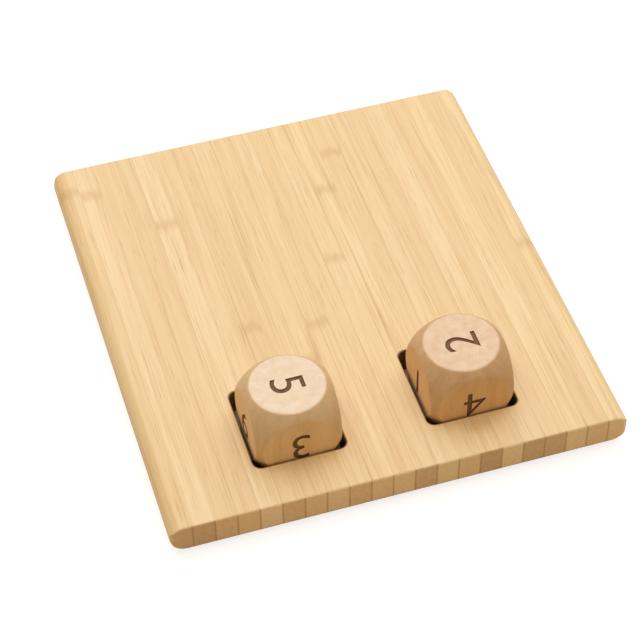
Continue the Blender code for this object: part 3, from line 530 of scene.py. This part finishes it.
def fired_ceramic():
    """Tan ceramic body of a chip capacitor with a speckle of its firing."""
    finish = Finish("fired_ceramic")
    speckle = finish.noise(finish.place((4.0, 4.0, 4.0)), detail=3.0)
    return finish.set(
        Base_Color=finish.tones(speckle, (0.42, 0.31, 0.19), (0.60, 0.48, 0.32)),
        Roughness=finish.spread(speckle, 0.4, 0.6),
    )


def enamelled_copper():
    """Copper wire under a clear amber enamel."""
    finish = Finish("enamelled_copper")
    streak = finish.noise(finish.place((1.5, 1.5, 1.5)), detail=3.0)
    return finish.set(
        Base_Color=finish.tones(streak, (0.55, 0.22, 0.08), (0.80, 0.42, 0.20)),
        Metallic=1.0, Roughness=finish.spread(streak, 0.2, 0.36), Coat_Weight=0.6,
    )


def make_finishes():
    """Every finish of the object by name."""
    return {
        "bamboo": oiled_bamboo(),
        # Painted shade for the pockets round the dice
        "pocket_shade": painted_pocket_shade(),
        "left_beech": sanded_beech("pale_beech", (0.92, 0.735, 0.56), (0.83, 0.62, 0.43)),
        "right_beech": sanded_beech("rosy_beech", (0.87, 0.64, 0.455), (0.76, 0.51, 0.33)),
        "burnt": burnt_wood(),
        "cover": moulded("cover_plastic", (0.020, 0.020, 0.022), (0.032, 0.032, 0.034), 0.45, 0.65),
        "silicone": moulded("foot_silicone", (0.05, 0.05, 0.054), (0.075, 0.075, 0.08), 0.72, 0.9, 1.5),
        "steel": plated_steel(),
        "contacts": inlet_contacts(),
        "lens": clear_lens("pipe_plastic", 0.75),
        "led": clear_lens("led_plastic", 0.4),
        "mask": solder_mask(),
        "chip": moulded("chip_epoxy", (0.022, 0.022, 0.024), (0.04, 0.04, 0.043), 0.4, 0.6, 5.0),
        "ceramic": fired_ceramic(),
        "ferrite": moulded("sintered_ferrite", (0.065, 0.065, 0.07), (0.11, 0.11, 0.115), 0.5, 0.75, 2.0),
        "copper": enamelled_copper(),
        "tape": moulded("amber_tape", (0.66, 0.55, 0.26), (0.80, 0.71, 0.40), 0.3, 0.5, 0.8),
        "foam": moulded("open_foam", (0.09, 0.09, 0.095), (0.18, 0.18, 0.19), 0.9, 1.0, 2.5, 0.0003),
        "bead": moulded("bead_resin", (0.28, 0.06, 0.025), (0.42, 0.12, 0.055), 0.35, 0.55),
    }


# Shapes

def shift(shape, offset):
    bmesh.ops.translate(shape, vec=offset, verts=shape.verts[:])


def turn_round_origin(shape, matrix):
    bmesh.ops.rotate(shape, cent=(0, 0, 0), matrix=matrix, verts=shape.verts[:])


def extrude(shape, face):
    """Extrude a face, and give the points and the face that this adds."""
    raised = bmesh.ops.extrude_face_region(shape, geom=[face])["geom"]
    points = [item for item in raised if isinstance(item, bmesh.types.BMVert)]
    return points, next(item for item in raised if isinstance(item, bmesh.types.BMFace))


def block(low, high):
    """A box between two corners."""
    low, high = Vector(low), Vector(high)
    shape = bmesh.new()
    bmesh.ops.create_cube(shape, size=1.0)
    bmesh.ops.scale(shape, vec=high - low, verts=shape.verts[:])
    shift(shape, (low + high) / 2)
    return shape


def round_edges(shape, edges, radius, steps):
    bmesh.ops.bevel(
        shape, geom=edges, offset=radius, offset_type="OFFSET", segments=steps, profile=0.5,
        affect="EDGES", material=-1, clamp_overlap=True,
    )


def rounded_block(low, high, corner, steps=CORNER_STEPS, along=2, fillet=0.0, fillet_steps=FILLET_STEPS):
    """A box whose edges along one axis are round, and whose two end rims may be filleted."""
    shape = block(low, high)
    half = (high[along] - low[along]) / 2

    def runs_along(edge):
        return abs(edge.verts[0].co[along] - edge.verts[1].co[along]) > half

    round_edges(shape, [edge for edge in shape.edges if runs_along(edge)], corner, steps)
    if fillet:
        round_edges(shape, [edge for edge in shape.edges if not runs_along(edge)], fillet, fillet_steps)
    return shape


def arc(middle, radius, start, end, steps):
    """Points (across, up) on an arc, with its angles measured from straight up towards the outside."""
    angles = [start + (end - start) * step / steps for step in range(steps + 1)]
    return [(middle[0] + radius * math.sin(angle), middle[1] + radius * math.cos(angle)) for angle in angles]


def spun(profile, steps):
    """A surface spun round Z from (radius, height) points."""
    shape = bmesh.new()
    points = [shape.verts.new((radius, 0, height)) for radius, height in profile]
    edges = [shape.edges.new(pair) for pair in zip(points, points[1:])]
    bmesh.ops.spin(
        shape, geom=points + edges, cent=(0, 0, 0), axis=(0, 0, 1),
        angle=2 * math.pi, steps=steps, use_merge=True, use_duplicate=False,
    )
    bmesh.ops.remove_doubles(shape, verts=shape.verts[:], dist=MERGE_DISTANCE)
    return shape


def turned(profile, middle, steps=ROUND_STEPS, facing_back=False):
    """A solid turned from (radius, height) points, upright or with its heights along -Y."""
    shape = spun(profile, steps)
    if facing_back:
        turn_round_origin(shape, Matrix.Rotation(math.pi / 2, 3, "X"))
    shift(shape, middle)
    bmesh.ops.recalc_face_normals(shape, faces=shape.faces[:])
    return shape


def plain_pin(middle, radius, low, high, steps=ROUND_STEPS, facing_back=False):
    """A round cutter between two heights."""
    profile = [(0, high), (radius, high), (radius, low), (0, low)]
    return turned(profile, middle, steps, facing_back)


# Pieces

def add_object(name, data):
    added = bpy.data.objects.new(name, data)
    bpy.context.scene.collection.objects.link(added)
    return added


def as_object(name, shape, *materials):
    """An object from a shape, which is used up."""
    mesh = bpy.data.meshes.new(name)
    bmesh.ops.recalc_face_normals(shape, faces=shape.faces[:])
    shape.to_mesh(mesh)
    shape.free()
    for material in materials:
        mesh.materials.append(material)
    return add_object(name, mesh)


def add_piece(name, shape, node, *materials):
    """A finer piece in place of a node of the frame, with the node's body."""
    piece = as_object(name, shape, *materials)
    bodies = frame["record"]["behaviour"]["bodies"]
    body = next(body for body, nodes in bodies.items() if node in nodes)
    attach(piece, body)
    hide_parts(node)
    return piece


def combine(piece, operation, shapes, *materials):
    """Cut shapes from the piece or join them to it, and keep the result as its mesh."""
    helpers = []
    for shape in shapes:
        helper = as_object("helper", shape, *materials)
        modifier = piece.modifiers.new("helper", "BOOLEAN")
        modifier.operation = operation
        modifier.object = helper
        modifier.material_mode = "TRANSFER" if materials else "INDEX"
        helpers.append(helper)
    bpy.context.view_layer.update()
    evaluated = piece.evaluated_get(bpy.context.evaluated_depsgraph_get())
    mesh = bpy.data.meshes.new_from_object(evaluated)
    piece.modifiers.clear()
    old_mesh, piece.data = piece.data, mesh
    mesh.name = old_mesh.name
    bpy.data.meshes.remove(old_mesh)
    for helper in helpers:
        helper_mesh = helper.data
        bpy.data.objects.remove(helper)
        bpy.data.meshes.remove(helper_mesh)


def smooth(piece, angle=SHARP_ANGLE):
    """Shade round stretches smooth and keep flat faces flat."""
    piece.data.shade_smooth()
    piece.data.set_sharp_from_angle(angle=angle)
    normals = piece.modifiers.new("flat_faces", "WEIGHTED_NORMAL")
    normals.keep_sharp = True
    normals.weight = FLAT_FACE_WEIGHT
    return piece


def middle_of(node):
    low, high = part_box(node)
    return (low + high) / 2


# Slab

def slab_blank(low, high):
    """The slab before it is cut: rounded along both sides and flat at both ends."""
    top_radius = SIDE_TOP_RADIUS
    bottom_radius = high.z - low.z - SIDE_TOP_RADIUS
    waist = low.z + bottom_radius
    quarter = math.pi / 2
    side = arc((high.x - top_radius, waist), top_radius, 0, quarter, CORNER_STEPS)
    side += arc((high.x - bottom_radius, waist), bottom_radius, quarter, 2 * quarter, CORNER_STEPS)[1:]
    section = side + [(-x, z) for x, z in reversed(side)]
    shape = bmesh.new()
    face = shape.faces.new([shape.verts.new((x, low.y, z)) for x, z in section])
    points, _ = extrude(shape, face)
    bmesh.ops.translate(shape, vec=(0, high.y - low.y, 0), verts=points)
    bmesh.ops.recalc_face_normals(shape, faces=shape.faces[:])
    ends = [edge for edge in shape.edges if edge.verts[0].co.y == edge.verts[1].co.y]
    round_edges(shape, ends, SLAB_END_FILLET, FILLET_STEPS)
    return shape


def pocket_cutter(die, slab_top):
    """A pocket round a die, with its rim rounded over into the slab's top."""
    low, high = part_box(die)
    low = low - Vector((POCKET_SIDE_ROOM, POCKET_FRONT_ROOM, SEAT_GAP))
    high = Vector((high.x + POCKET_SIDE_ROOM, high.y + POCKET_BACK_ROOM, slab_top - POCKET_RIM))
    middle, size = (low + high) / 2, high - low
    shape = rounded_block(low, high, POCKET_CORNER)
    top = max(shape.faces, key=lambda face: face.calc_center_median().z)
    rings = [(POCKET_RIM * (1 - math.cos(angle)), POCKET_RIM * math.sin(angle))
             for angle in (math.pi / 2 * step / FILLET_STEPS for step in range(1, FILLET_STEPS + 1))]
    rings.append((POCKET_RIM, POCKET_RIM + OVERCUT))
    out, up = 0.0, 0.0
    for next_out, next_up in rings:
        points, raised_top = extrude(shape, top)
        bmesh.ops.delete(shape, geom=[top], context="FACES_ONLY")
        top = raised_top
        grow = [(size[axis] + 2 * next_out) / (size[axis] + 2 * out) for axis in (0, 1)]
        bmesh.ops.scale(shape, vec=(*grow, 1), space=Matrix.Translation(-middle), verts=points)
        bmesh.ops.translate(shape, vec=(0, 0, next_up - up), verts=points)
        out, up = next_out, next_up
    return shape


def make_slab(finishes):
    low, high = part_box("bamboo_board")
    slab = add_piece("bamboo_slab", slab_blank(low, high), "bamboo_board", finishes["bamboo"])
    past = Vector((SEAT_GAP, SEAT_GAP, OVERCUT))
    combine(slab, "INTERSECT", [rounded_block(low - past, high + past, SLAB_CORNER)])
    pockets = [pocket_cutter(die, high.z) for die in ("left_die", "right_die")]
    # The pockets' walls and floors take the painted shade of the pockets
    combine(slab, "DIFFERENCE", pockets, finishes["pocket_shade"])

    # The cavity over the cover, the rebate that the cover lies in, and the notch for the bezel
    below = low.z - OVERCUT
    cover_low, cover_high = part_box("bottom_cover")
    side = Vector((SIDE_GAP, SIDE_GAP, 0))
    ledge = Vector((COVER_LEDGE, COVER_LEDGE, 0))
    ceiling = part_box("coil_tape")[1].z + SEAT_GAP
    rebate_top = low.z + COVER_THICKNESS + SEAT_GAP
    rebate_low, rebate_high = cover_low - side, cover_high + side
    cavity_low, cavity_high = rebate_low + ledge, rebate_high - ledge
    rebate = rounded_block(
        Vector((*rebate_low.xy, below)), Vector((*rebate_high.xy, rebate_top)), REBATE_CORNER
    )
    cavity = rounded_block(
        Vector((*cavity_low.xy, below)), Vector((*cavity_high.xy, ceiling)), CAVITY_CORNER
    )
    bezel_low, bezel_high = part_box("port_bezel")
    notch = block(
        (bezel_low.x - SIDE_GAP, cavity_high.y - COVER_LEDGE, below),
        (bezel_high.x + SIDE_GAP, bezel_high.y + OVERCUT, bezel_high.z + SEAT_GAP),
    )
    combine(slab, "DIFFERENCE", [cavity, rebate, notch])

    # Seats of the feet and pilot holes of the cover screws
    seats = []
    for node in frame["nodes"]:
        node_low, node_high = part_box(node)
        if node.startswith("foot_"):
            radius = (node_high.x - node_low.x) / 2 + SIDE_GAP
        elif node.startswith("cover_screw_"):
            radius = COVER_SHANK_RADIUS + SIDE_GAP / 2
        else:
            continue
        middle = Vector((*middle_of(node).xy, 0))
        seats.append(plain_pin(middle, radius, below, node_high.z + SEAT_GAP))
    combine(slab, "DIFFERENCE", seats)
    return smooth(slab)


# Dice

def die_patch(size, edge):
    """The part of a die round its top flat, cut off where the next five parts begin."""
    half, ball = size / 2, DIE_TURNED_RADIUS
    edge_up = half - edge
    edge_out = math.sqrt((ball - edge) ** 2 - edge_up**2)
    meet = math.atan2(edge_out, edge_up)
    profile = [(0, half)]
    profile += arc((edge_out, edge_up), edge, 0, meet, FILLET_STEPS)
    profile += arc((0, 0), ball, meet, DIE_PATCH_REACH, FILLET_STEPS)[1:]
    shape = spun(profile, DIE_STEPS)
    flat = [face for face in shape.faces if all(vert.co.z > half - MERGE_DISTANCE for vert in face.verts)]
    bmesh.ops.dissolve_faces(shape, faces=flat)
    for outside in ((1, 0, -1), (-1, 0, -1), (0, 1, -1), (0, -1, -1)):
        bmesh.ops.bisect_plane(
            shape, geom=shape.verts[:] + shape.edges[:] + shape.faces[:], dist=MERGE_DISTANCE,
            plane_co=(0, 0, 0), plane_no=outside, clear_outer=True,
        )
    return shape


def face_turns():
    """The turn that takes the top of a die to each of its six faces, by the face's direction."""
    quarter = math.pi / 2
    forward = Matrix.Rotation(quarter, 3, "X")
    aside = Matrix.Rotation(quarter, 3, "Z")
    return {
        "top": Matrix.Identity(3),
        "bottom": Matrix.Rotation(2 * quarter, 3, "X"),
        "front": forward,
        "back": aside @ aside @ forward,
        "right": aside @ forward,
        "left": Matrix.Rotation(-quarter, 3, "Z") @ forward,
    }


def numeral(text, turn, spin, middle, half):
    """A numeral as a solid that is sunk into one face of a die."""
    curve = bpy.data.curves.new("numeral", "FONT")
    curve.body = text
    curve.size = NUMERAL_HEIGHT / FONT_NUMERAL_HEIGHT
    curve.align_x = "CENTER"
    curve.extrude = NUMERAL_DEPTH
    curve.resolution_u = NUMERAL_STEPS
    holder = add_object("numeral", curve)
    bpy.context.view_layer.update()
    mesh = bpy.data.meshes.new_from_object(holder.evaluated_get(bpy.context.evaluated_depsgraph_get()))
    bpy.data.objects.remove(holder)
    bpy.data.curves.remove(curve)
    shape = bmesh.new()
    shape.from_mesh(mesh)
    bpy.data.meshes.remove(mesh)
    bmesh.ops.remove_doubles(shape, verts=shape.verts[:], dist=MERGE_DISTANCE)
    low = Vector([min(vert.co[axis] for vert in shape.verts) for axis in range(3)])
    high = Vector([max(vert.co[axis] for vert in shape.verts) for axis in range(3)])
    shift(shape, -(low + high) / 2)
    turn_round_origin(shape, Matrix.Rotation(spin, 3, "Z"))
    shift(shape, (0, 0, half))
    turn_round_origin(shape, turn)
    shift(shape, middle)
    return shape


def make_die(node, name, edge, numerals, wood, burnt):
    """A die from six like parts, with a numeral burnt into each flat: {face: (text, turn on the face)}."""
    low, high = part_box(node)
    middle, size = (low + high) / 2, high.x - low.x
    turns = face_turns()
    shape = bmesh.new()
    for turn in turns.values():
        patch = die_patch(size, edge)
        turn_round_origin(patch, turn)
        mesh = bpy.data.meshes.new("patch")
        patch.to_mesh(mesh)
        patch.free()
        shape.from_mesh(mesh)
        bpy.data.meshes.remove(mesh)
    bmesh.ops.remove_doubles(shape, verts=shape.verts[:], dist=10 * MERGE_DISTANCE)
    shift(shape, middle)
    die = add_piece(name, shape, node, wood)
    cutters = [
        numeral(text, turns[face], math.radians(degrees), middle, size / 2)
        for face, (text, degrees) in numerals.items()
    ]
    combine(die, "DIFFERENCE", cutters, burnt)
    return smooth(die, DIE_SHARP_ANGLE)


# Cover, feet and screws

def make_foot(node, finishes):
    low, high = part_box(node)
    radius, bevel = (high.x - low.x) / 2, SEAT_GAP
    rim_middle = (radius - FOOT_ROUNDING, low.z + FOOT_ROUNDING)
    rim = arc(rim_middle, FOOT_ROUNDING, math.pi / 2, math.pi, FILLET_STEPS)
    profile = [(0, high.z), (radius - bevel, high.z), (radius, high.z - bevel), *rim, (0, low.z)]
    foot = turned(profile, Vector((*middle_of(node).xy, 0)))
    return smooth(add_piece(node.replace("foot", "bumper"), foot, node, finishes["silicone"]))


def cross_recess(middle, head_radius, face, inward):
    """Two tapered arms that a cross driver fits, from a screw's face inwards (+1 is up)."""
    arm = head_radius * CROSS_SHARE
    shapes = []
    for half_x, half_y in ((arm, CROSS_WIDTH / 2), (CROSS_WIDTH / 2, arm)):
        low = Vector((-half_x, -half_y, -CROSS_DEPTH))
        shape = block(low, -low)
        inner = [vert for vert in shape.verts if vert.co.z > 0]
        bmesh.ops.scale(shape, vec=(CROSS_TAPER, CROSS_TAPER, 1), verts=inner)
        if inward < 0:
            turn_round_origin(shape, Matrix.Rotation(math.pi, 3, "X"))
        shift(shape, (middle.x, middle.y, face))
        shapes.append(shape)
    return shapes


def make_cover_screw(node, finishes):
    """A countersunk screw that points up, with its head flush with the cover."""
    low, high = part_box(node)
    middle, head = middle_of(node), (high.x - low.x) / 2
    shank = COVER_SHANK_RADIUS
    profile = [
        (0, high.z), (shank, high.z - shank), (shank, low.z + COVER_HEAD_HEIGHT),
        (head, low.z + SEAT_GAP / 2), (head - SEAT_GAP / 2, low.z), (0, low.z),
    ]
    shape = turned(profile, Vector((*middle.xy, 0)))
    screw = add_piece(node.replace("cover_screw", "countersunk_screw"), shape, node, finishes["steel"])
    combine(screw, "DIFFERENCE", cross_recess(middle, head, low.z, 1))
    return smooth(screw)


def make_board_screw(node, finishes):
    """A pan-head screw on the circuit board."""
    low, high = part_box(node)
    middle, head = middle_of(node), (high.x - low.x) / 2
    shank = BOARD_SHANK_RADIUS
    seat = high.z - BOARD_HEAD_HEIGHT
    crown = BOARD_HEAD_HEIGHT / 2
    rim = arc((head - crown, high.z - crown), crown, 0, math.pi / 2, FILLET_STEPS)
    profile = [(0, high.z), *rim, (head, seat), (shank, seat), (shank, low.z + shank), (0, low.z)]
    shape = turned(profile, Vector((*middle.xy, 0)))
    screw = add_piece(node.replace("board_screw", "pan_head_screw"), shape, node, finishes["steel"])
    combine(screw, "DIFFERENCE", cross_recess(middle, head, high.z, -1))
    return smooth(screw)


def make_cover(finishes):
    """The plastic plate in the underside, with its bosses and its countersunk holes."""
    low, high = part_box("bottom_cover")
    top = low.z + COVER_THICKNESS
    plate = rounded_block(low, Vector((*high.xy, top)), COVER_CORNER, fillet=COVER_FILLET,
                          fillet_steps=SMALL_FILLET_STEPS)
    cover = add_piece("underside_cover", plate, "bottom_cover", finishes["cover"])
    bosses, holes = [], []
    for node in ("board_screw_left", "board_screw_right"):
        middle = Vector((*middle_of(node).xy, 0))
        bosses.append(plain_pin(middle, BOSS_RADIUS, top - COVER_THICKNESS / 2, high.z))
        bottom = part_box(node)[0].z - SEAT_GAP
        holes.append(plain_pin(middle, BOARD_SHANK_RADIUS + SIDE_GAP / 2, bottom, high.z + OVERCUT))
    combine(cover, "UNION", bosses)
    for node in frame["nodes"]:
        if not node.startswith("cover_screw_"):
            continue
        screw_low, screw_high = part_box(node)
        mouth = (screw_high.x - screw_low.x + SIDE_GAP) / 2
        shank = COVER_SHANK_RADIUS + SIDE_GAP / 2
        profile = [
            (0, top + OVERCUT), (shank, top + OVERCUT), (shank, low.z + COVER_HEAD_HEIGHT + SEAT_GAP),
            (mouth, low.z + SEAT_GAP), (mouth, low.z - OVERCUT), (0, low.z - OVERCUT),
        ]
        holes.append(turned(profile, Vector((*middle_of(node).xy, 0))))
    combine(cover, "DIFFERENCE", holes)
    return smooth(cover)


# Inlet, bezel and status light

def make_bezel(finishes):
    """The plastic insert in the back edge, with the inlet's opening and the hole of the light pipe."""
    low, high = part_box("port_bezel")
    plate_low = Vector((low.x, high.y - BEZEL_PLATE, low.z))
    plate = rounded_block(
        plate_low, high, BEZEL_CORNER, FILLET_STEPS, along=1,
        fillet=BEZEL_FILLET, fillet_steps=SMALL_FILLET_STEPS,
    )
    bezel = add_piece("inlet_bezel", plate, "port_bezel", finishes["cover"])
    floor = block(
        (low.x + BEZEL_CORNER, low.y, low.z),
        (high.x - BEZEL_CORNER, high.y - BEZEL_PLATE / 2, low.z + COVER_THICKNESS),
    )
    combine(bezel, "UNION", [floor])
    shell_low, shell_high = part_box("inlet_shell")
    opening = rounded_block(
        Vector((shell_low.x - SIDE_GAP, plate_low.y - OVERCUT, shell_low.z - SIDE_GAP)),
        Vector((shell_high.x + SIDE_GAP, high.y + OVERCUT, shell_high.z + SIDE_GAP)),
        INLET_CORNER + SIDE_GAP, along=1,
    )
    pipe = Vector((middle_of("light_pipe").x, 0, middle_of("light_pipe").z))
    hole = plain_pin(pipe, PIPE_RADIUS + SEAT_GAP, -high.y - OVERCUT, OVERCUT - plate_low.y, facing_back=True)
    combine(bezel, "DIFFERENCE", [opening, hole])
    return smooth(bezel)


def make_inlet(finishes):
    """The steel shell of the inlet, open at the back."""
    low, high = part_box("inlet_shell")
    wall = Vector((INLET_WALL, INLET_WALL, INLET_WALL))
    shape = rounded_block(low, high, INLET_CORNER, along=1, fillet=INLET_FILLET,
                          fillet_steps=INLET_FILLET_STEPS)
    shell = add_piece("inlet_sleeve", shape, "inlet_shell", finishes["steel"])
    hollow = rounded_block(
        low + wall, high - wall + Vector((0, INLET_WALL + OVERCUT, 0)), INLET_CORNER - INLET_WALL, along=1
    )
    combine(shell, "DIFFERENCE", [hollow])
    return smooth(shell)


def make_light_pipe(finishes):
    """A clear pin with a flange behind the bezel and a low dome in front."""
    low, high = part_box("light_pipe")
    flange = (high.x - low.x) / 2
    middle = Vector((middle_of("light_pipe").x, 0, middle_of("light_pipe").z))
    shoulder = low.y + PIPE_FLANGE
    ball = (PIPE_RADIUS**2 + PIPE_DOME**2) / (2 * PIPE_DOME)
    dome = arc((0, high.y - ball), ball, math.asin(PIPE_RADIUS / ball), 0, FILLET_STEPS)
    along = [(flange, low.y), (flange, shoulder), (PIPE_RADIUS, shoulder), *dome]
    profile = [(0, -low.y)] + [(radius, -depth) for radius, depth in along]
    shape = turned(profile, middle, facing_back=True)
    return smooth(add_piece("light_guide", shape, "light_pipe", finishes["lens"]))


# Finishes of the nodes that keep the frame's own mesh

def dress_inside(finishes):
    by_slot = {
        "circuit_board": "mask", "chip_plastic": "chip", "ceramic": "ceramic", "ferrite": "ferrite",
        "copper": "copper", "tape": "tape", "foam": "foam", "thermistor_coat": "bead",
        "inlet_plastic": "contacts", "clear_plastic": "led",
    }
    for part in frame["record"]["subparts"]:
        node = frame["nodes"][part["node"]]
        if not node.hide_render:
            node.material_slots[0].material = finishes[by_slot[part["material_slot"]]]


# Floor, light and camera

def seen_directly(tree):
    """1 for rays that show the studio itself: to the camera, in gloss and through clear pieces."""
    path = tree.nodes.new("ShaderNodeLightPath")
    total = path.outputs["Is Camera Ray"]
    for kind in ("Is Glossy Ray", "Is Transmission Ray"):
        add = tree.nodes.new("ShaderNodeMath")
        add.operation = "MAXIMUM"
        tree.links.new(total, add.inputs[0])
        tree.links.new(path.outputs[kind], add.inputs[1])
        total = add.outputs[0]
    return total


def make_floor():
    """A white floor that keeps the object's shadow, and that isn't there when seen from below."""
    shape = bmesh.new()
    bmesh.ops.create_circle(shape, cap_ends=True, radius=FLOOR_RADIUS, segments=ROUND_STEPS)
    shift(shape, (0, 0, CAD_LOW.z - SEAT_GAP))
    material = bpy.data.materials.new("studio_floor")
    material.use_nodes = True
    tree = material.node_tree
    tree.nodes.clear()

    def shader(kind, **inputs):
        node = tree.nodes.new(kind)
        for name, value in inputs.items():
            node.inputs[name].default_value = value
        return node.outputs[0]

    def mix(factor, first, second):
        node = tree.nodes.new("ShaderNodeMixShader")
        tree.links.new(factor, node.inputs[0])
        tree.links.new(first, node.inputs[1])
        tree.links.new(second, node.inputs[2])
        return node.outputs[0]

    white = (FLOOR_WHITE, FLOOR_WHITE, FLOOR_WHITE, 1.0)
    lit = tree.nodes.new("ShaderNodeAddShader")
    tree.links.new(shader("ShaderNodeBsdfDiffuse", Color=white), lit.inputs[0])
    tree.links.new(shader("ShaderNodeEmission", Strength=FLOOR_GLOW), lit.inputs[1])
    bounce = shader("ShaderNodeBsdfDiffuse", Color=FLOOR_BOUNCE)
    seen = mix(seen_directly(tree), bounce, lit.outputs[0])
    back = tree.nodes.new("ShaderNodeNewGeometry").outputs["Backfacing"]
    output = tree.nodes.new("ShaderNodeOutputMaterial")
    tree.links.new(mix(back, seen, shader("ShaderNodeBsdfTransparent")), output.inputs[0])
    floor = as_object("floor", shape, material)
    if floor.data.polygons[0].normal.z < 0:
        floor.data.flip_normals()
    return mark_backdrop(floor)


def make_world():
    """White where the studio itself is seen, and a dim warm light on the object."""
    world = bpy.data.worlds.new("studio")
    world.use_nodes = True
    tree = world.node_tree
    background = tree.nodes["Background"]
    mix = tree.nodes.new("ShaderNodeMix")
    mix.data_type = "RGBA"
    mix.inputs[MIX_UNDER].default_value = [share * AMBIENT_STRENGTH for share in AMBIENT] + [1.0]
    mix.inputs[MIX_OVER].default_value = (1.0, 1.0, 1.0, 1.0)
    tree.links.new(seen_directly(tree), mix.inputs[MIX_FACTOR])
    tree.links.new(mix.outputs[MIX_RESULT], background.inputs["Color"])
    bpy.context.scene.world = world


def add_lamp(name, place, size, power):
    """A square soft lamp that faces the middle of the board."""
    lamp = bpy.data.lights.new(name, "AREA")
    lamp.size = size
    lamp.energy = power
    lamp.color = LAMP_COLOUR
    holder = add_object(name, lamp)
    holder.location = place
    holder.rotation_mode = "QUATERNION"
    holder.rotation_quaternion = (-place).to_track_quat("-Z", "Y")


def make_camera():
    lens = bpy.data.cameras.new("camera")
    lens.lens = CAMERA_LENS
    lens.sensor_width = CAMERA_SENSOR
    lens.clip_start = CAMERA_CLIP_START
    holder = add_object("camera", lens)
    holder.location = CAMERA_PLACE
    holder.rotation_mode = "QUATERNION"
    holder.rotation_quaternion = CAMERA_LOOK.to_track_quat("-Z", "Y") @ Quaternion((0, 0, 1), CAMERA_ROLL)
    bpy.context.scene.camera = holder


def main():
    make_camera()
    finishes = make_finishes()
    make_slab(finishes)
    burnt = finishes["burnt"]
    make_die("left_die", "left_cube", LEFT_DIE_EDGE, LEFT_NUMERALS, finishes["left_beech"], burnt)
    make_die("right_die", "right_cube", RIGHT_DIE_EDGE, RIGHT_NUMERALS, finishes["right_beech"], burnt)
    make_cover(finishes)
    for node in frame["nodes"]:
        if node.startswith("foot_"):
            make_foot(node, finishes)
        elif node.startswith("cover_screw_"):
            make_cover_screw(node, finishes)
        elif node.startswith("board_screw_"):
            make_board_screw(node, finishes)
    make_bezel(finishes)
    make_inlet(finishes)
    make_light_pipe(finishes)
    dress_inside(finishes)
    make_floor()
    make_world()
    add_lamp("key", KEY_PLACE, KEY_SIZE, KEY_POWER)
    add_lamp("top", TOP_PLACE, TOP_SIZE, TOP_POWER)
    bpy.context.scene.view_settings.view_transform = "Standard"


main()
